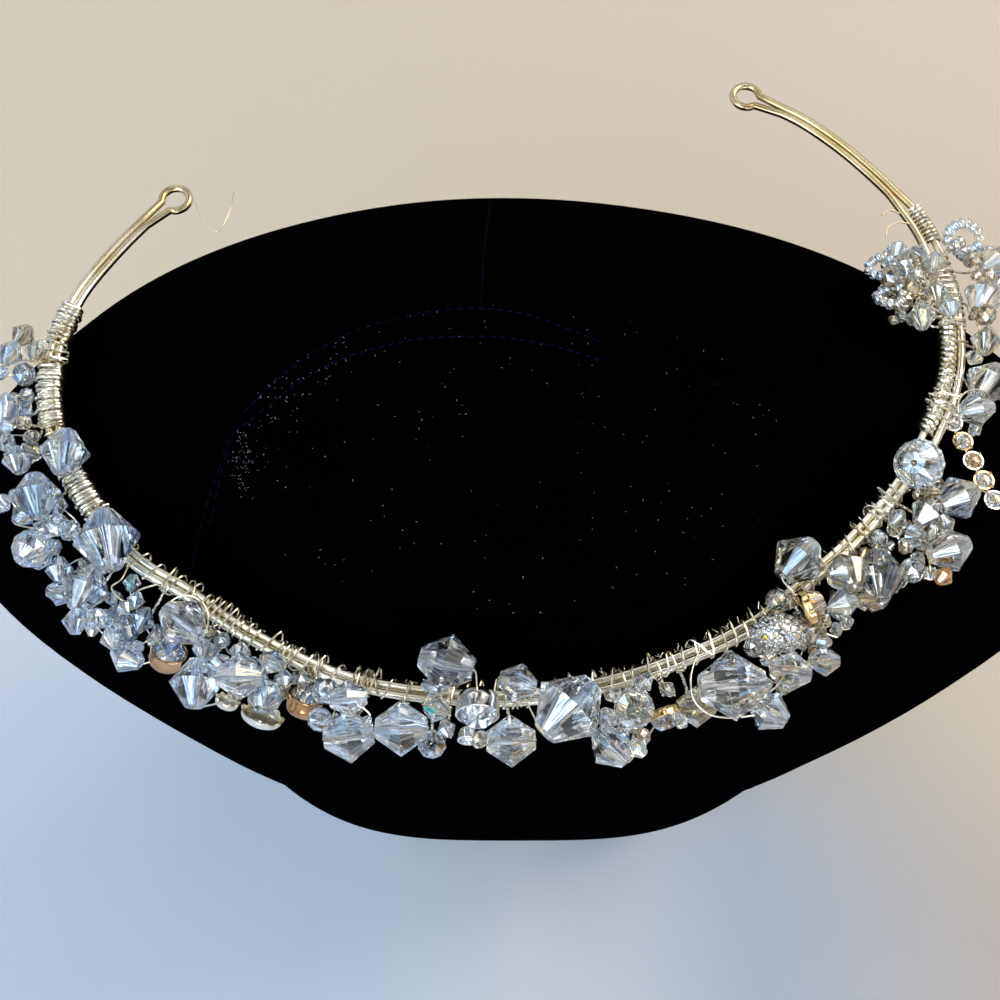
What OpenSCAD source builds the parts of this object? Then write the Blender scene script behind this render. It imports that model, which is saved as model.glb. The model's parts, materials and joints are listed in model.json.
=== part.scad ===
// A wire-wrapped headband tiara with faceted crystals, lying level round a black velvet neck bust.
// Millimetres. The origin is the middle of the bust's flat base, +Z is up and the chest faces -Y.
// Along the band a place is given by its station (distance along the band from its left tip), by how far
// outward it lies, away from the head, and by how far up it lies, from the plane of the band.

/* [Band] */
// Diameter of the silver wire that is doubled to make the band
core_wire = 1.2; // [1.0:0.1:1.2]
// Spread of the two wires of the band, centre to centre
core_spread = 1.32; // [1.32:0.02:1.36]
// Width across the teardrop loop at each end of the band, between wire centres
end_loop = 4.2; // [3.6:0.2:4.6]

/* [Fine wire] */
// Diameter of the fine wire that is wound round the band
wrap_wire = 0.35; // [0.3:0.05:0.35]
// Distance from one turn of a tight wrap to the next
wrap_pitch = 0.95; // [0.8:0.05:1.1]
// Diameter of the wires that hold the crystals
stem_wire = 0.32; // [0.25:0.01:0.34]

/* [Crystals] */
// Diameter of the hole through a crystal
bore = 0.9; // [0.8:0.05:1.0]
// Diameter of the hole through a small crystal
small_bore = 0.7; // [0.6:0.05:0.8]
// Wall of a cup that holds a stone
cup_wall = 0.4; // [0.35:0.05:0.5]

/* [Bust] */
// Height of the plane of the band above the flat base
band_z = 156; // [156:0.5:158]
// Width of the shoulders
shoulder_w = 185; // [181:1:187]
// Width and depth of the flat base
base_w = 72; // [68:1:76]
// Height of the padded disc on the neck
disc_h = 2.6; // [2.2:0.2:3]

/* [Hidden] */
// Names of the forms of the crystals
BICONE = 0;
ROUND = 1;
RONDELLE = 2;

// Colours
VELVET = "#1b191d";
SILVER = "#d9d3c3";
WRAP = "#d2c193";
TINTS = [["clear", "#e3ebf3"], ["smoke", "#9aa4b4"], ["champagne", "#dcbf90"], ["amber", "#d98f3c"]];

// Gap between neighbouring pieces
gap = 0.15;
// Sides of the bust, the band's wire and the fine wires
BUST_SIDES = 32;
CORE_SIDES = 8;
FINE_SIDES = 5;
// Distance between the rings of the band's wire
CORE_STEP = 4.4;

// The middle line of the band, from its left tip round the front to its right tip
// columns: x, y
BAND_LINE = [
    [-54, 32.4], [-59.4, 27.4], [-65, 19.8], [-69, 12.4], [-71.1, 3], [-70.2, -7], [-65.3, -17.3],
    [-56.5, -28.5], [-48, -34], [-40, -39.5], [-26.5, -46], [-13, -48.5], [0, -48.5], [13.5, -45.5],
    [27.5, -39.5], [36, -33], [43.5, -26.6], [51, -18.3], [56.6, -9.9], [60.4, -2], [62, 5.5], [62, 14.5],
    [59.8, 24.4], [56.2, 31.4], [50.5, 38.7], [45.2, 44], [40.4, 47.6], [32.3, 51.8]
];

// Where the band's two wires stand apart, so that the fine wire is wound round one of them alone
// columns: station, half the distance between the wires
SPREAD = [[0, core_spread / 2], [197, core_spread / 2], [203, 1.03], [244, 1.03], [248, core_spread / 2]];

// Level sections of the bust from the base to the neck; each is a rounded oval that may lean
// columns: z at the front, z at the back, middle x, half width, y front, y back, squareness in front, behind
BUST = [
    [0, 0, 0, base_w / 2, -base_w / 2, base_w / 2, 4, 4],
    [36, 36, -2, 50, -44, 37, 3.4, 3.6],
    [71, 71, -1.5, 64.5, -50, 38, 2.2, 3.3],
    [92, 92, -1.5, 79.5, -53.5, 38.5, 1.84, 2.6],
    [106, 106, -1, shoulder_w / 2 - 4.5, -55, 38.5, 1.7, 2.3],
    [116, 116, -1, shoulder_w / 2 - 0.5, -56, 38, 1.62, 2.2],
    [126, 127, -1, shoulder_w / 2, -55.5, 37, 1.65, 2.2],
    [134, 135.5, -1.5, shoulder_w / 2 - 4.5, -54.5, 36.5, 1.7, 2.2],
    [141, 143.6, -2, 80, -52.5, 35.8, 1.75, 2.2],
    [147, 149.8, -3, 72.5, -50.5, 34.4, 1.85, 2.2],
    [151.5, 153, -4.3, 64, -48.6, 33.3, 1.9, 2.15],
    [154.2, 155.2, -5.3, 54.5, -46.6, 31.8, 1.95, 2.1],
    [156.5, 158.5, -5.5, 46.5, -43.8, 28.5, 1.95, 2.1],
    [159.5, 165, -4.5, 41, -42.5, 17.5, 2, 2],
    [162, 173.5, -4, 37.5, -40.5, 0.5, 2, 2]
];

// Rings of the padded disc that closes the neck
// columns: share of its height, inset of the edge
DISC = [[0, 1.2], [0.2, 0.3], [0.5, 0], [0.8, 0.6], [1, 3], [1.15, 12]];

// Tight wraps of the fine wire
// columns: node, first station, last station, then 0 where it holds both wires, -1 the inner, 1 the outer one
WRAPS = [
    ["coil_left_end", 26.5, 32, 0],
    ["coil_left_side", 37, 46, 0],
    ["coil_left_front", 55, 61.5, 0],
    ["coil_right_side", 204, 222, -1],
    ["coil_right_end", 238, 243.5, 1]
];

// The main crystals. The hole's axis lies along the band, then turns outward and tilts up.
// columns: station, outward, up, size, turn, tilt, form, tint, then 1 where the wire from the hole's first
// end and from its last end reaches the band
CRYSTALS = [
    [35.8, 5.6, 2.5, 4, 20, 0, BICONE, "clear", 1, 1],
    [43, 6.1, 1, 5.2, 10, 0, BICONE, "clear", 1, 0],
    [53.8, -0.6, 4.7, 7, 30, 0, BICONE, "clear", 1, 1],
    [56.3, 5.7, 2, 7, 20, 0, BICONE, "clear", 1, 1],
    [62.8, 9.9, 2.7, 5.6, 60, 20, ROUND, "clear", 1, 0],
    [69.2, 1.4, 5.6, 9, 30, 0, BICONE, "clear", 1, 1],
    [69.9, 7.5, -0.4, 7, 60, 0, BICONE, "clear", 1, 0],
    [78.2, 11.5, -1, 4.8, 0, 0, BICONE, "clear", 0, 0],
    [84.8, 4.4, 4.5, 7, 0, 0, BICONE, "clear", 1, 1],
    [89.8, 9.7, 2, 7, 60, 0, BICONE, "clear", 1, 0],
    [95.4, 6.9, 6.8, 6.4, -28, 0, BICONE, "clear", 1, 1],
    [98.1, 6.8, 1.8, 4.8, 70, 20, ROUND, "clear", 1, 0],
    [108.2, 3.8, 5.2, 5.2, -20, 0, BICONE, "clear", 1, 1],
    [108.7, 7.4, 0, 7.2, -20, 0, BICONE, "clear", 1, 1],
    [114.9, 5.7, 2.5, 7.4, -8, 0, BICONE, "clear", 1, 1],
    [118.6, 6.1, -2.2, 4, 88, 76, ROUND, "clear", 1, 0],
    [120, -2.1, 7.6, 7.8, 10, 0, BICONE, "smoke", 1, 1],
    [128.2, 6.4, 2, 7, 0, 0, BICONE, "clear", 0, 1],
    [129.4, -0.6, 4.5, 5.4, 20, 0, BICONE, "clear", 1, 0],
    [135.3, 3.9, 5.6, 9.8, -37, 0, BICONE, "clear", 0, 1],
    [140.1, 8.2, -1.2, 6.2, 60, 0, BICONE, "clear", 1, 0],
    [143.3, 5.4, 4.4, 5.4, 90, 60, RONDELLE, "clear", 1, 0],
    [151.6, 6.5, -1.4, 5.6, 20, 0, BICONE, "champagne", 1, 1],
    [155.5, 7.1, 4.8, 9.4, 20, 0, BICONE, "clear", 1, 0],
    [159.3, 11.1, -0.9, 5.8, 60, 0, BICONE, "clear", 1, 0],
    [162.8, 8.6, 3.3, 5.8, 40, 0, BICONE, "clear", 1, 0],
    [172.2, -2, 6, 7.2, -7, 0, BICONE, "clear", 1, 1],
    [180.9, 5.9, 1, 7.6, -45, 0, BICONE, "clear", 0, 1],
    [190.1, 10.7, 0.3, 6.4, 30, 0, BICONE, "clear", 1, 1],
    [195.8, 0.6, 4.8, 7.2, 199, 55, ROUND, "clear", 0, 0],
    [196.6, 7.6, 0.8, 6.4, 30, 0, BICONE, "clear", 1, 1],
    [208.3, 4.1, 3.3, 5.4, 54, 0, BICONE, "clear", 1, 0],
    [214.1, 5.1, 0.5, 6.8, 20, 0, BICONE, "clear", 1, 1],
    [222.3, -5.5, 3, 4.4, 0, 0, BICONE, "clear", 0, 1],
    [226.9, 4.9, 1, 6, 30, 0, BICONE, "clear", 1, 1],
    [232.2, 7.6, 1, 5.4, 60, 0, BICONE, "clear", 1, 0]
];

// The small crystals of the left half, columns: station, outward, up, size, turn, tilt, form, tint
SMALL_LEFT = [
    [31.7, 5.8, -0.5, 3.6, 20, 0, BICONE, "champagne"],
    [35.6, 1.7, 3, 3.2, 0, 0, BICONE, "champagne"],
    [37.1, 4.3, -1, 3.6, 0, 0, ROUND, "clear"],
    [45.7, 3.7, 2.2, 2.6, 0, 0, RONDELLE, "champagne"],
    [49.2, 6.2, -0.5, 4.4, 10, 0, BICONE, "clear"],
    [46.1, 3.6, -1.6, 2.6, 0, 0, RONDELLE, "champagne"],
    [64.5, 8.6, -3.5, 4, 30, 0, BICONE, "clear"],
    [73.9, 10.1, 3, 3.7, 30, 0, RONDELLE, "clear"],
    [74, 7.9, -2, 4, 60, 0, BICONE, "clear"],
    [76.3, 11.1, 2.6, 3, 40, 0, BICONE, "clear"],
    [77.3, 6.4, 0, 3.8, 80, 0, BICONE, "clear"],
    [82.1, 8.1, 2, 2.4, 0, 0, RONDELLE, "champagne"],
    [97, 2.6, 3.2, 3.6, 0, 0, BICONE, "clear"],
    [101.7, 2.4, 2.2, 3.2, 0, 0, RONDELLE, "champagne"],
    [118.1, -0.3, 2.6, 3, 10, 0, BICONE, "clear"],
    [119, 3.1, 3.5, 3.4, 10, 0, BICONE, "clear"],
    [120.4, 4.7, 0.9, 2.6, 60, 0, BICONE, "clear"],
    [142.5, 10.1, 2.2, 2.8, 60, 0, BICONE, "clear"]
];

// The small crystals of the right half, columns: station, outward, up, size, turn, tilt, form, tint
SMALL_RIGHT = [
    [148.2, 4, 3.2, 2.4, 60, 0, BICONE, "champagne"],
    [167.5, 9.6, -1, 4.4, 40, 0, BICONE, "clear"],
    [166.9, -0.2, 3.6, 3, 0, 0, ROUND, "clear"],
    [169.4, 6, 0, 2.8, 0, 40, ROUND, "champagne"],
    [173.4, 6.1, 4, 4.2, 23, 0, BICONE, "clear"],
    [176.4, 2.6, 4.6, 4.2, 24, 0, BICONE, "clear"],
    [188.5, 2.6, 2, 3, 0, 0, BICONE, "clear"],
    [191.6, 5.1, 2.2, 4.4, 0, 0, BICONE, "clear"],
    [186.1, 12.4, 1.6, 2.8, 0, 0, BICONE, "amber"],
    [220, 4.4, 1, 4.6, 10, 0, BICONE, "clear"],
    [223.5, -1.5, 4, 3.4, 0, 0, BICONE, "clear"],
    [227, -2.9, 3, 3.6, 0, 0, BICONE, "clear"],
    [229.9, -5.5, 4, 2.4, 0, 0, RONDELLE, "clear"],
    [231.4, -2.6, 4.6, 3.4, 30, 0, BICONE, "clear"],
    [232.8, -6.3, 2.6, 3.8, 0, 0, BICONE, "clear"]
];

// Round cups with a cut stone
// columns: station, outward, up, diameter, height, turn, tilt, metal colour, rise of the stone over its width
CUPS = [
    [59.4, 7.1, -1.8, 3.4, 2.4, 90, 12, "#cfc6b0", 0.25],
    [84, 8.5, -1.5, 5.2, 2.8, -90, 56, "#cda75c", 0.3],
    [102.2, 4.8, -2, 5.2, 2.8, -90, 40, "#cf9d76", 0.36],
    [123.1, 5.5, 1.3, 2.6, 1.8, 90, 12, "#cfc6b0", 0.25],
    [124.2, 2, 3.9, 5.8, 3.4, 90, 12, "#cfc6b0", 0.36],
    [147, 6.2, 1, 5, 1.3, 90, -10, "#cda75c", 0.45],
    [168.9, 3.2, 4, 5.2, 1.4, 18, 10, "#cda75c", 0.5]
];

// Notch between two scallops of a bead cap
SCALLOP = [1.6, 0.8, 1];
// Shallow bead caps with a scalloped edge, columns: station, outward, up, diameter, height, turn, tilt
CROWNS = [
    [93.4, 9.3, -1.4, 3.4, 1.6, -90, 36],
    [98.4, 9.1, -0.5, 5.8, 1.8, -90, 36]
];

// The oval ball set with tiny stones: station, outward, up, thickness, length, turn
PAVE = [164.4, 3.4, 3, 5.2, 7.4, 37];

// Strips of cup chain, columns: node, number of cups, cup width, first and last place as station, outward, up
STRIPS = [
    ["strip_lower", 4, 2.1, [188.5, 3.1, -2.4], [186.7, 10.6, -2.4]],
    ["strip_upper", 5, 3, [208.5, 2.2, -3.6], [200.5, 12.2, -3.6]]
];
// Height, wall and floor of a strip's cup, the height of its stone's girdle and the gap round the stone
strip_cup_h = 1.5;
strip_girdle = 1.3;
strip_wall = 0.25;
strip_floor = 0.6;
strip_gap = 0.12;
// The bar between two cups: width, height, how high it lies and how far it runs into each cup
strip_bar = [0.6, 0.3, 0.2, 0.2];

// A crystal's wire: how far it runs straight past the hole, and how far out and down it bends to a leg
stem_reach = 0.4;
bend_reach = 0.9;
bend_drop = 0.5;
// Where a leg's foot stands on the band: past the hole, outward, up
FOOT = [0.6, 1.9, 0.7];

// Points of a tight wrap in one turn, round both wires and round one of them, columns: outward, up
TURN = [[1.82, 0], [1, 1.1], [-1, 1.1], [-1.82, 0], [-1, -1.1], [1, -1.1]];
TURN_ONE = [[1.06, 0], [0.53, 0.92], [-0.53, 0.92], [-1.06, 0], [-0.53, -0.92], [0.53, -0.92]];

function crystal_name(i) = str("crystal_", i < 9 ? "0" : "", i + 1);

// Curves and places

function unit(v) = v / norm(v);

function blend(p0, p1, p2, p3, t) =
    (2 * p1 + (p2 - p0) * t + (2 * p0 - 5 * p1 + 4 * p2 - p3) * t * t
        + (3 * p1 - p0 - 3 * p2 + p3) * t * t * t) / 2;

// A smooth curve through the points of a line
function smooth(p, steps) = let (n = len(p) - 1) [
    for (i = [0 : n - 1])
        let (before = i > 0 ? p[i - 1] : 2 * p[0] - p[1], after = i < n - 1 ? p[i + 2] : 2 * p[n] - p[n - 1])
            for (k = [0 : steps - 1]) blend(before, p[i], p[i + 1], after, k / steps),
    p[n]
];

function lengths(p) = [
    for (i = 0, s = 0; i < len(p); s = s + norm(p[min(i + 1, len(p) - 1)] - p[i]), i = i + 1) s
];

LINE = smooth(BAND_LINE, 6);
RUN = lengths(LINE);
X_AT = [for (i = [0 : len(LINE) - 1]) [RUN[i], LINE[i][0]]];
Y_AT = [for (i = [0 : len(LINE) - 1]) [RUN[i], LINE[i][1]]];
band_length = RUN[len(RUN) - 1];

function on_band(s) = [lookup(s, X_AT), lookup(s, Y_AT), band_z];
function along(s) = unit(on_band(s + 0.5) - on_band(s - 0.5));
function outward(s) = [along(s)[1], -along(s)[0], 0];
function heading(s) = atan2(along(s)[1], along(s)[0]);
function place(s, out, up) = on_band(s) + outward(s) * out + [0, 0, up];

// Direction of an axis that turns outward from the band and tilts up
function axis(s, turn, tilt) = [
    cos(tilt) * cos(heading(s) - turn), cos(tilt) * sin(heading(s) - turn), sin(tilt)
];

// Puts a piece made round its own X axis at a place of the band
module at_band(s, out, up, turn, tilt) {
    translate(place(s, out, up)) rotate([0, -tilt, heading(s) - turn]) children();
}

// Solids from rings of points

function ring_faces(low, high, n) = [
    for (i = [0 : n - 1]) let (j = (i + 1) % n) each [
        [low * n + i, high * n + i, high * n + j],
        [low * n + i, high * n + j, low * n + j]
    ]
];

module loft(rings, closed = false) {
    n = len(rings[0]);
    m = len(rings);
    sides = [for (k = [0 : m - 2]) each ring_faces(k, k + 1, n)];
    ends = closed
        ? ring_faces(m - 1, 0, n)
        : [[for (i = [0 : n - 1]) i], [for (i = [n - 1 : -1 : 0]) (m - 1) * n + i]];
    polyhedron(points = [for (r = rings) each r], faces = concat(sides, ends), convexity = 6);
}

function circle_ring(centre, side, across, radius, n) = [
    for (i = [0 : n - 1]) centre + radius * (cos(360 * i / n) * side + sin(360 * i / n) * across)
];

// A round wire along a path; refs holds for each point a direction that isn't along the path
module wire(path, refs, diameter, n, closed = false) {
    m = len(path);
    rings = [
        for (i = [0 : m - 1])
            let (
                before = closed ? path[(i + m - 1) % m] : path[max(i - 1, 0)],
                after = closed ? path[(i + 1) % m] : path[min(i + 1, m - 1)],
                t = unit(after - before),
                side = unit(refs[i] - (refs[i] * t) * t)
            ) circle_ring(path[i], side, cross(t, side), diameter / 2, n)
    ];
    loft(rings, closed);
}

// A faceted form turned round its Z axis, columns of the profile: height, radius
module turned(profile, n, closed = true) {
    loft([for (p = profile) circle_ring([0, 0, p[0]], [1, 0, 0], [0, 1, 0], p[1], n)], closed);
}

// The bust

function oval_x(a, power) = sign(cos(a)) * pow(abs(cos(a)), 2 / power);
function oval_y(a, power) = sign(sin(a)) * pow(abs(sin(a)), 2 / power);

function bust_ring(row, inset = 0, lift = 0) = let (
    half_d = (row[5] - row[4]) / 2,
    mid_y = (row[5] + row[4]) / 2,
    slope = (row[1] - row[0]) / (row[5] - row[4])
) [
    for (i = [0 : BUST_SIDES - 1])
        let (a = 360 * i / BUST_SIDES, power = row[a > 180 ? 6 : 7], y = (half_d - inset) * oval_y(a, power))
            [row[2] + (row[3] - inset) * oval_x(a, power), mid_y + y, row[0] + lift + slope * (y + half_d)]
];

module bust_body() {
    color(VELVET) loft([for (row = BUST) bust_ring(row)]);
}

module neck_disc() {
    top = BUST[len(BUST) - 1];
    color(VELVET) loft([for (d = DISC) bust_ring(top, d[1], gap + d[0] * disc_h)]);
}

// The band

loop_r = end_loop / 2;
// Station where the two wires lie side by side again, measured from a tip
loop_reach = 4 * loop_r;

rod_steps = round((band_length - 2 * loop_reach) / CORE_STEP);
function half_spread(s) = lookup(s, SPREAD);
function rod_station(k) = loop_reach + (band_length - 2 * loop_reach) * k / rod_steps;

// The teardrop at one end, from one wire round to the other
function end_points(tip, inward, first) = [
    for (a = [-140 : 28 : 140]) place(tip + inward * loop_r * (1 - cos(a)), -first * loop_r * sin(a), 0)
];

core_path = concat(
    [for (k = [0 : rod_steps]) place(rod_station(k), half_spread(rod_station(k)), 0)],
    end_points(band_length, -1, 1),
    [for (k = [rod_steps : -1 : 0]) place(rod_station(k), -half_spread(rod_station(k)), 0)],
    end_points(0, 1, -1)
);

module core_band() {
    color(SILVER) wire(core_path, [for (p = core_path) [0, 0, 1]], core_wire, CORE_SIDES, closed = true);
}

// A tight wrap of the fine wire between two stations
module wrap(row) {
    turn = row[3] == 0 ? TURN : TURN_ONE;
    count = round((row[2] - row[1]) / wrap_pitch) * len(turn);
    stations = [for (k = [0 : count]) row[1] + (row[2] - row[1]) * k / count];
    path = [
        for (k = [0 : count])
            let (s = stations[k], p = turn[k % len(turn)]) place(s, row[3] * half_spread(s) + p[0], p[1])
    ];
    color(WRAP) wire(path, [for (s = stations) along(s)], wrap_wire, FINE_SIDES);
}

// Crystals

function tint(name) = TINTS[search([name], TINTS)[0]][1];

function crystal_length(size, form) = size * (form == BICONE ? 0.92 : form == ROUND ? 0.9 : 0.62);

// Outer profile of a drilled crystal, then its hole; columns: height, radius
function crystal_profile(size, form, hole) = let (
    h = crystal_length(size, form) / 2,
    r = size / 2,
    outer = form == BICONE ? [[-h, 0.36 * r], [0, r], [h, 0.36 * r]]
        : form == ROUND ? [[-h, 0.45 * r], [-0.5 * h, 0.88 * r], [0, r], [0.5 * h, 0.88 * r], [h, 0.45 * r]]
        : [[-h, 0.6 * r], [-0.3 * h, r], [0.3 * h, r], [h, 0.6 * r]]
) concat(outer, [[h, hole / 2], [-h, hole / 2]]);

module crystal(row, hole) {
    color(tint(row[7])) at_band(row[0], row[1], row[2], row[4], row[5]) rotate([0, 90, 0])
        turned(crystal_profile(row[3], row[6], min(hole, 0.26 * row[3])), row[6] == ROUND ? 10 : 8);
}

module beads(rows) {
    for (row = rows) crystal(row, small_bore);
}

// The wire through a crystal, with a leg down to the band from the hole's ends that the row names
module stem(row, first_leg, last_leg) {
    centre = place(row[0], row[1], row[2]);
    a = axis(row[0], row[4], row[5]);
    half = crystal_length(row[3], row[6]) / 2;
    foot_side = row[1] < 0 ? -1 : 1;
    feet = [for (end = [-1, 1]) place(row[0] + end * (half + FOOT[0]), foot_side * FOOT[1], FOOT[2])];
    bends = [for (end = [-1, 1]) centre + end * (half + bend_reach) * a - [0, 0, bend_drop]];
    path = concat(
        first_leg ? [feet[0], bends[0]] : [],
        [centre - (half + stem_reach) * a, centre + (half + stem_reach) * a],
        last_leg ? [bends[1], feet[1]] : []
    );
    ref = unit(cross(a, unit(feet[1] - centre)));
    color(SILVER) wire(path, [for (p = path) ref], stem_wire, FINE_SIDES);
}

module stem_wires() {
    for (row = CRYSTALS) stem(row, row[8] == 1, row[9] == 1);
    for (row = SMALL_LEFT) stem(row, false, false);
    for (row = SMALL_RIGHT) stem(row, false, false);
}

// Cups and cut stones

// A cup that stands on its floor, with a recess for a stone
module cup(diameter, height) {
    rotate_extrude($fn = 32) polygon([
        [0, 0], [diameter / 2, 0], [diameter / 2, height], [diameter / 2 - cup_wall, height],
        [diameter / 2 - cup_wall, 0.4 * height], [0, 0.4 * height]
    ]);
}

function stone_d(diameter) = diameter - 2 * cup_wall - 0.24;

// A brilliant-cut stone with its girdle at the height given, over a recess of the depth given
module cut_stone(diameter, girdle, room, rise) {
    depth = min(0.32 * diameter, room - 0.12);
    turned([
        [girdle - depth, 0.1 * diameter], [girdle, diameter / 2],
        [girdle + 0.6 * rise * diameter, 0.42 * diameter], [girdle + rise * diameter, 0.25 * diameter]
    ], 8, closed = false);
}

module bezel_cups() {
    for (c = CUPS) color(c[7]) at_band(c[0], c[1], c[2], c[5], c[6])
        rotate([0, 90, 0]) translate([0, 0, -c[4] / 2]) cup(c[3], c[4]);
}

module bezel_stones() {
    for (c = CUPS) color(tint("clear")) at_band(c[0], c[1], c[2], c[5], c[6])
        rotate([0, 90, 0]) translate([0, 0, -c[4] / 2])
            cut_stone(stone_d(c[3]), 0.88 * c[4], 0.48 * c[4], c[8]);
}

module crown_cups() {
    for (c = CROWNS) color(SILVER) at_band(c[0], c[1], c[2], c[5], c[6])
        rotate([0, 90, 0]) translate([0, 0, -c[4] / 2]) difference() {
            cup(c[3], c[4]);
            for (k = [0 : 5]) rotate(60 * k) translate([c[3] / 2, 0, c[4]]) cube(SCALLOP, center = true);
        }
}

module pave_ball() {
    h = PAVE[4] / 2;
    r = PAVE[3] / 2;
    color("#d3dae2") at_band(PAVE[0], PAVE[1], PAVE[2], PAVE[5], 0) rotate([0, 90, 0]) turned([
        [-h, 0.3 * r], [-0.8 * h, 0.68 * r], [-0.4 * h, 0.95 * r], [0, r], [0.4 * h, 0.95 * r],
        [0.8 * h, 0.68 * r], [h, 0.3 * r], [h, bore / 2], [-h, bore / 2]
    ], 12);
}

// Middle of the first or last cup of a strip
function strip_end(row, last) = let (p = last ? row[4] : row[3]) place(p[0], p[1], p[2]);
function strip_pitch(row) = norm(strip_end(row, true) - strip_end(row, false)) / (row[1] - 1);

// Places the cups of a strip, made at the origin, facing up and joined along X
module along_strip(row) {
    first = strip_end(row, false);
    step = (strip_end(row, true) - first) / (row[1] - 1);
    for (k = [0 : row[1] - 1]) translate(first + k * step) rotate(atan2(step[1], step[0])) children();
}

module strip(row) {
    bar = strip_pitch(row) - row[2] + 2 * strip_bar[3];
    color(SILVER) along_strip(row) union() {
        difference() {
            cylinder(d = row[2], h = strip_cup_h, $fn = 24);
            translate([0, 0, strip_floor]) cylinder(d = row[2] - 2 * strip_wall, h = strip_cup_h, $fn = 24);
        }
        translate([row[2] / 2 - strip_bar[3], -strip_bar[0] / 2, strip_bar[2]])
            cube([bar, strip_bar[0], strip_bar[1]]);
    }
}

module strip_stones(row) {
    color(tint("clear")) along_strip(row)
        cut_stone(row[2] - 2 * (strip_wall + strip_gap), strip_girdle, strip_girdle - strip_floor, 0.17);
}

bust_body();
neck_disc();
core_band();
for (w = WRAPS) wrap(w);
for (i = [0 : len(CRYSTALS) - 1]) crystal(CRYSTALS[i], bore);
beads(SMALL_LEFT);  // small_beads_left
beads(SMALL_RIGHT);  // small_beads_right
stem_wires();
bezel_cups();
bezel_stones();
crown_cups();
pave_ball();
for (s = STRIPS) strip(s);
for (s = STRIPS) strip_stones(s);
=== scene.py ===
import json
import random
from math import atan2, copysign, cos, hypot, pi, radians, sin, sqrt

import bmesh
import bpy
import numpy as np
from mathutils import Matrix, Vector

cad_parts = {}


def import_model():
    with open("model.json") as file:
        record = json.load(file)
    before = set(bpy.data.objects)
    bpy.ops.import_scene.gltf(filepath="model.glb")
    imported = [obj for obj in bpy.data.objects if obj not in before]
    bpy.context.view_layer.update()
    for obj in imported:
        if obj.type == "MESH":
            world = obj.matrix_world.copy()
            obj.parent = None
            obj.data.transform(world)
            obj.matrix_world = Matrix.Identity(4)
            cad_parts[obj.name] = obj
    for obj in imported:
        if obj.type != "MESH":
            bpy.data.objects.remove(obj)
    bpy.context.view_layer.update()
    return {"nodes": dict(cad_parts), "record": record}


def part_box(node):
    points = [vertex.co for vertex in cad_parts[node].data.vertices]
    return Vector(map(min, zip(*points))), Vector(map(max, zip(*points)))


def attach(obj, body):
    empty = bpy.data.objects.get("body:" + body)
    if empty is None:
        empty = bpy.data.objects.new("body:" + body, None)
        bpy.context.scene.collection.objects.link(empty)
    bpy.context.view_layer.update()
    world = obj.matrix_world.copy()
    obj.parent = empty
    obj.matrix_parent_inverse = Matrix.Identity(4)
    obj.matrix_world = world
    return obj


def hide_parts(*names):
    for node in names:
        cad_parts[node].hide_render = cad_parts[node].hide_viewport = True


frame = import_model()
norm = np.linalg.norm

# Places and lengths here are in millimetres, in the frame's axes, and turn into metres in Shape.piece.
MM = 0.001
UP = np.array([0.0, 0.0, 1.0])

# The middle line of the band, from its left tip round the front to its right tip
BAND_Z = 156.0
BAND_LINE = [
    (-54, 32.4), (-59.4, 27.4), (-65, 19.8), (-69, 12.4), (-71.1, 3), (-70.2, -7), (-65.3, -17.3),
    (-56.5, -28.5), (-48, -34), (-40, -39.5), (-26.5, -46), (-13, -48.5), (0, -48.5), (13.5, -45.5),
    (27.5, -39.5), (36, -33), (43.5, -26.6), (51, -18.3), (56.6, -9.9), (60.4, -2), (62, 5.5), (62, 14.5),
    (59.8, 24.4), (56.2, 31.4), (50.5, 38.7), (45.2, 44), (40.4, 47.6), (32.3, 51.8),
]
CORE_R = 0.6
# Where the two wires of the band stand apart, columns: station, half the distance between them
SPREAD = [(197, 0.63), (203, 1.0), (244, 1.0), (248, 0.63)]
LOOP_R = 2.1

# Sections of the bust from the base to the neck, each a rounded oval that may lean, columns: z at the front,
# z at the back, middle x, half width, y at the front, y at the back, squareness in front and behind
BUST = [
    (0, 0, 0, 36, -36, 36, 4, 4),
    (36, 36, -2, 50, -44, 37, 3.4, 3.6),
    (71, 71, -1.5, 64.5, -50, 38, 2.2, 3.3),
    (92, 92, -1.5, 79.5, -53.5, 38.5, 1.84, 2.6),
    (106, 106, -1, 88, -55, 38.5, 1.7, 2.3),
    (116, 116, -1, 92, -56, 38, 1.62, 2.2),
    (126, 127, -1, 92.5, -55.5, 37, 1.65, 2.2),
    (134, 135.5, -1.5, 88, -54.5, 36.5, 1.7, 2.2),
    (141, 143.6, -2, 80, -52.5, 35.8, 1.75, 2.2),
    (147, 149.8, -3, 72.5, -50.5, 34.4, 1.85, 2.2),
    (151.5, 153, -4.3, 64, -48.6, 33.3, 1.9, 2.15),
    (154.2, 155.2, -5.3, 54.5, -46.6, 31.8, 1.95, 2.1),
    (156.5, 158.5, -5.5, 46.5, -43.8, 28.5, 1.95, 2.1),
    (159.5, 165, -4.5, 41, -42.5, 17.5, 2, 2),
    (162, 173.5, -4, 37.5, -40.5, 0.5, 2, 2),
]


# Curves and places

def unit(v):
    return v / norm(v)


def smooth(points, steps):
    """A Catmull-Rom curve through the points."""
    p = np.asarray(points, float)
    p = np.vstack([2 * p[0] - p[1], p, 2 * p[-1] - p[-2]])
    out = []
    for i in range(1, len(p) - 2):
        a, b, c, d = p[i - 1 : i + 3]
        for k in range(steps):
            t = k / steps
            out.append((2 * b + (c - a) * t + (2 * a - 5 * b + 4 * c - d) * t**2
                        + (3 * b - a - 3 * c + d) * t**3) / 2)
    out.append(p[-2])
    return np.array(out)


def lengths(path):
    """How far along a path each of its points lies."""
    return np.concatenate([[0], np.cumsum(norm(np.diff(path, axis=0), axis=1))])


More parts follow.
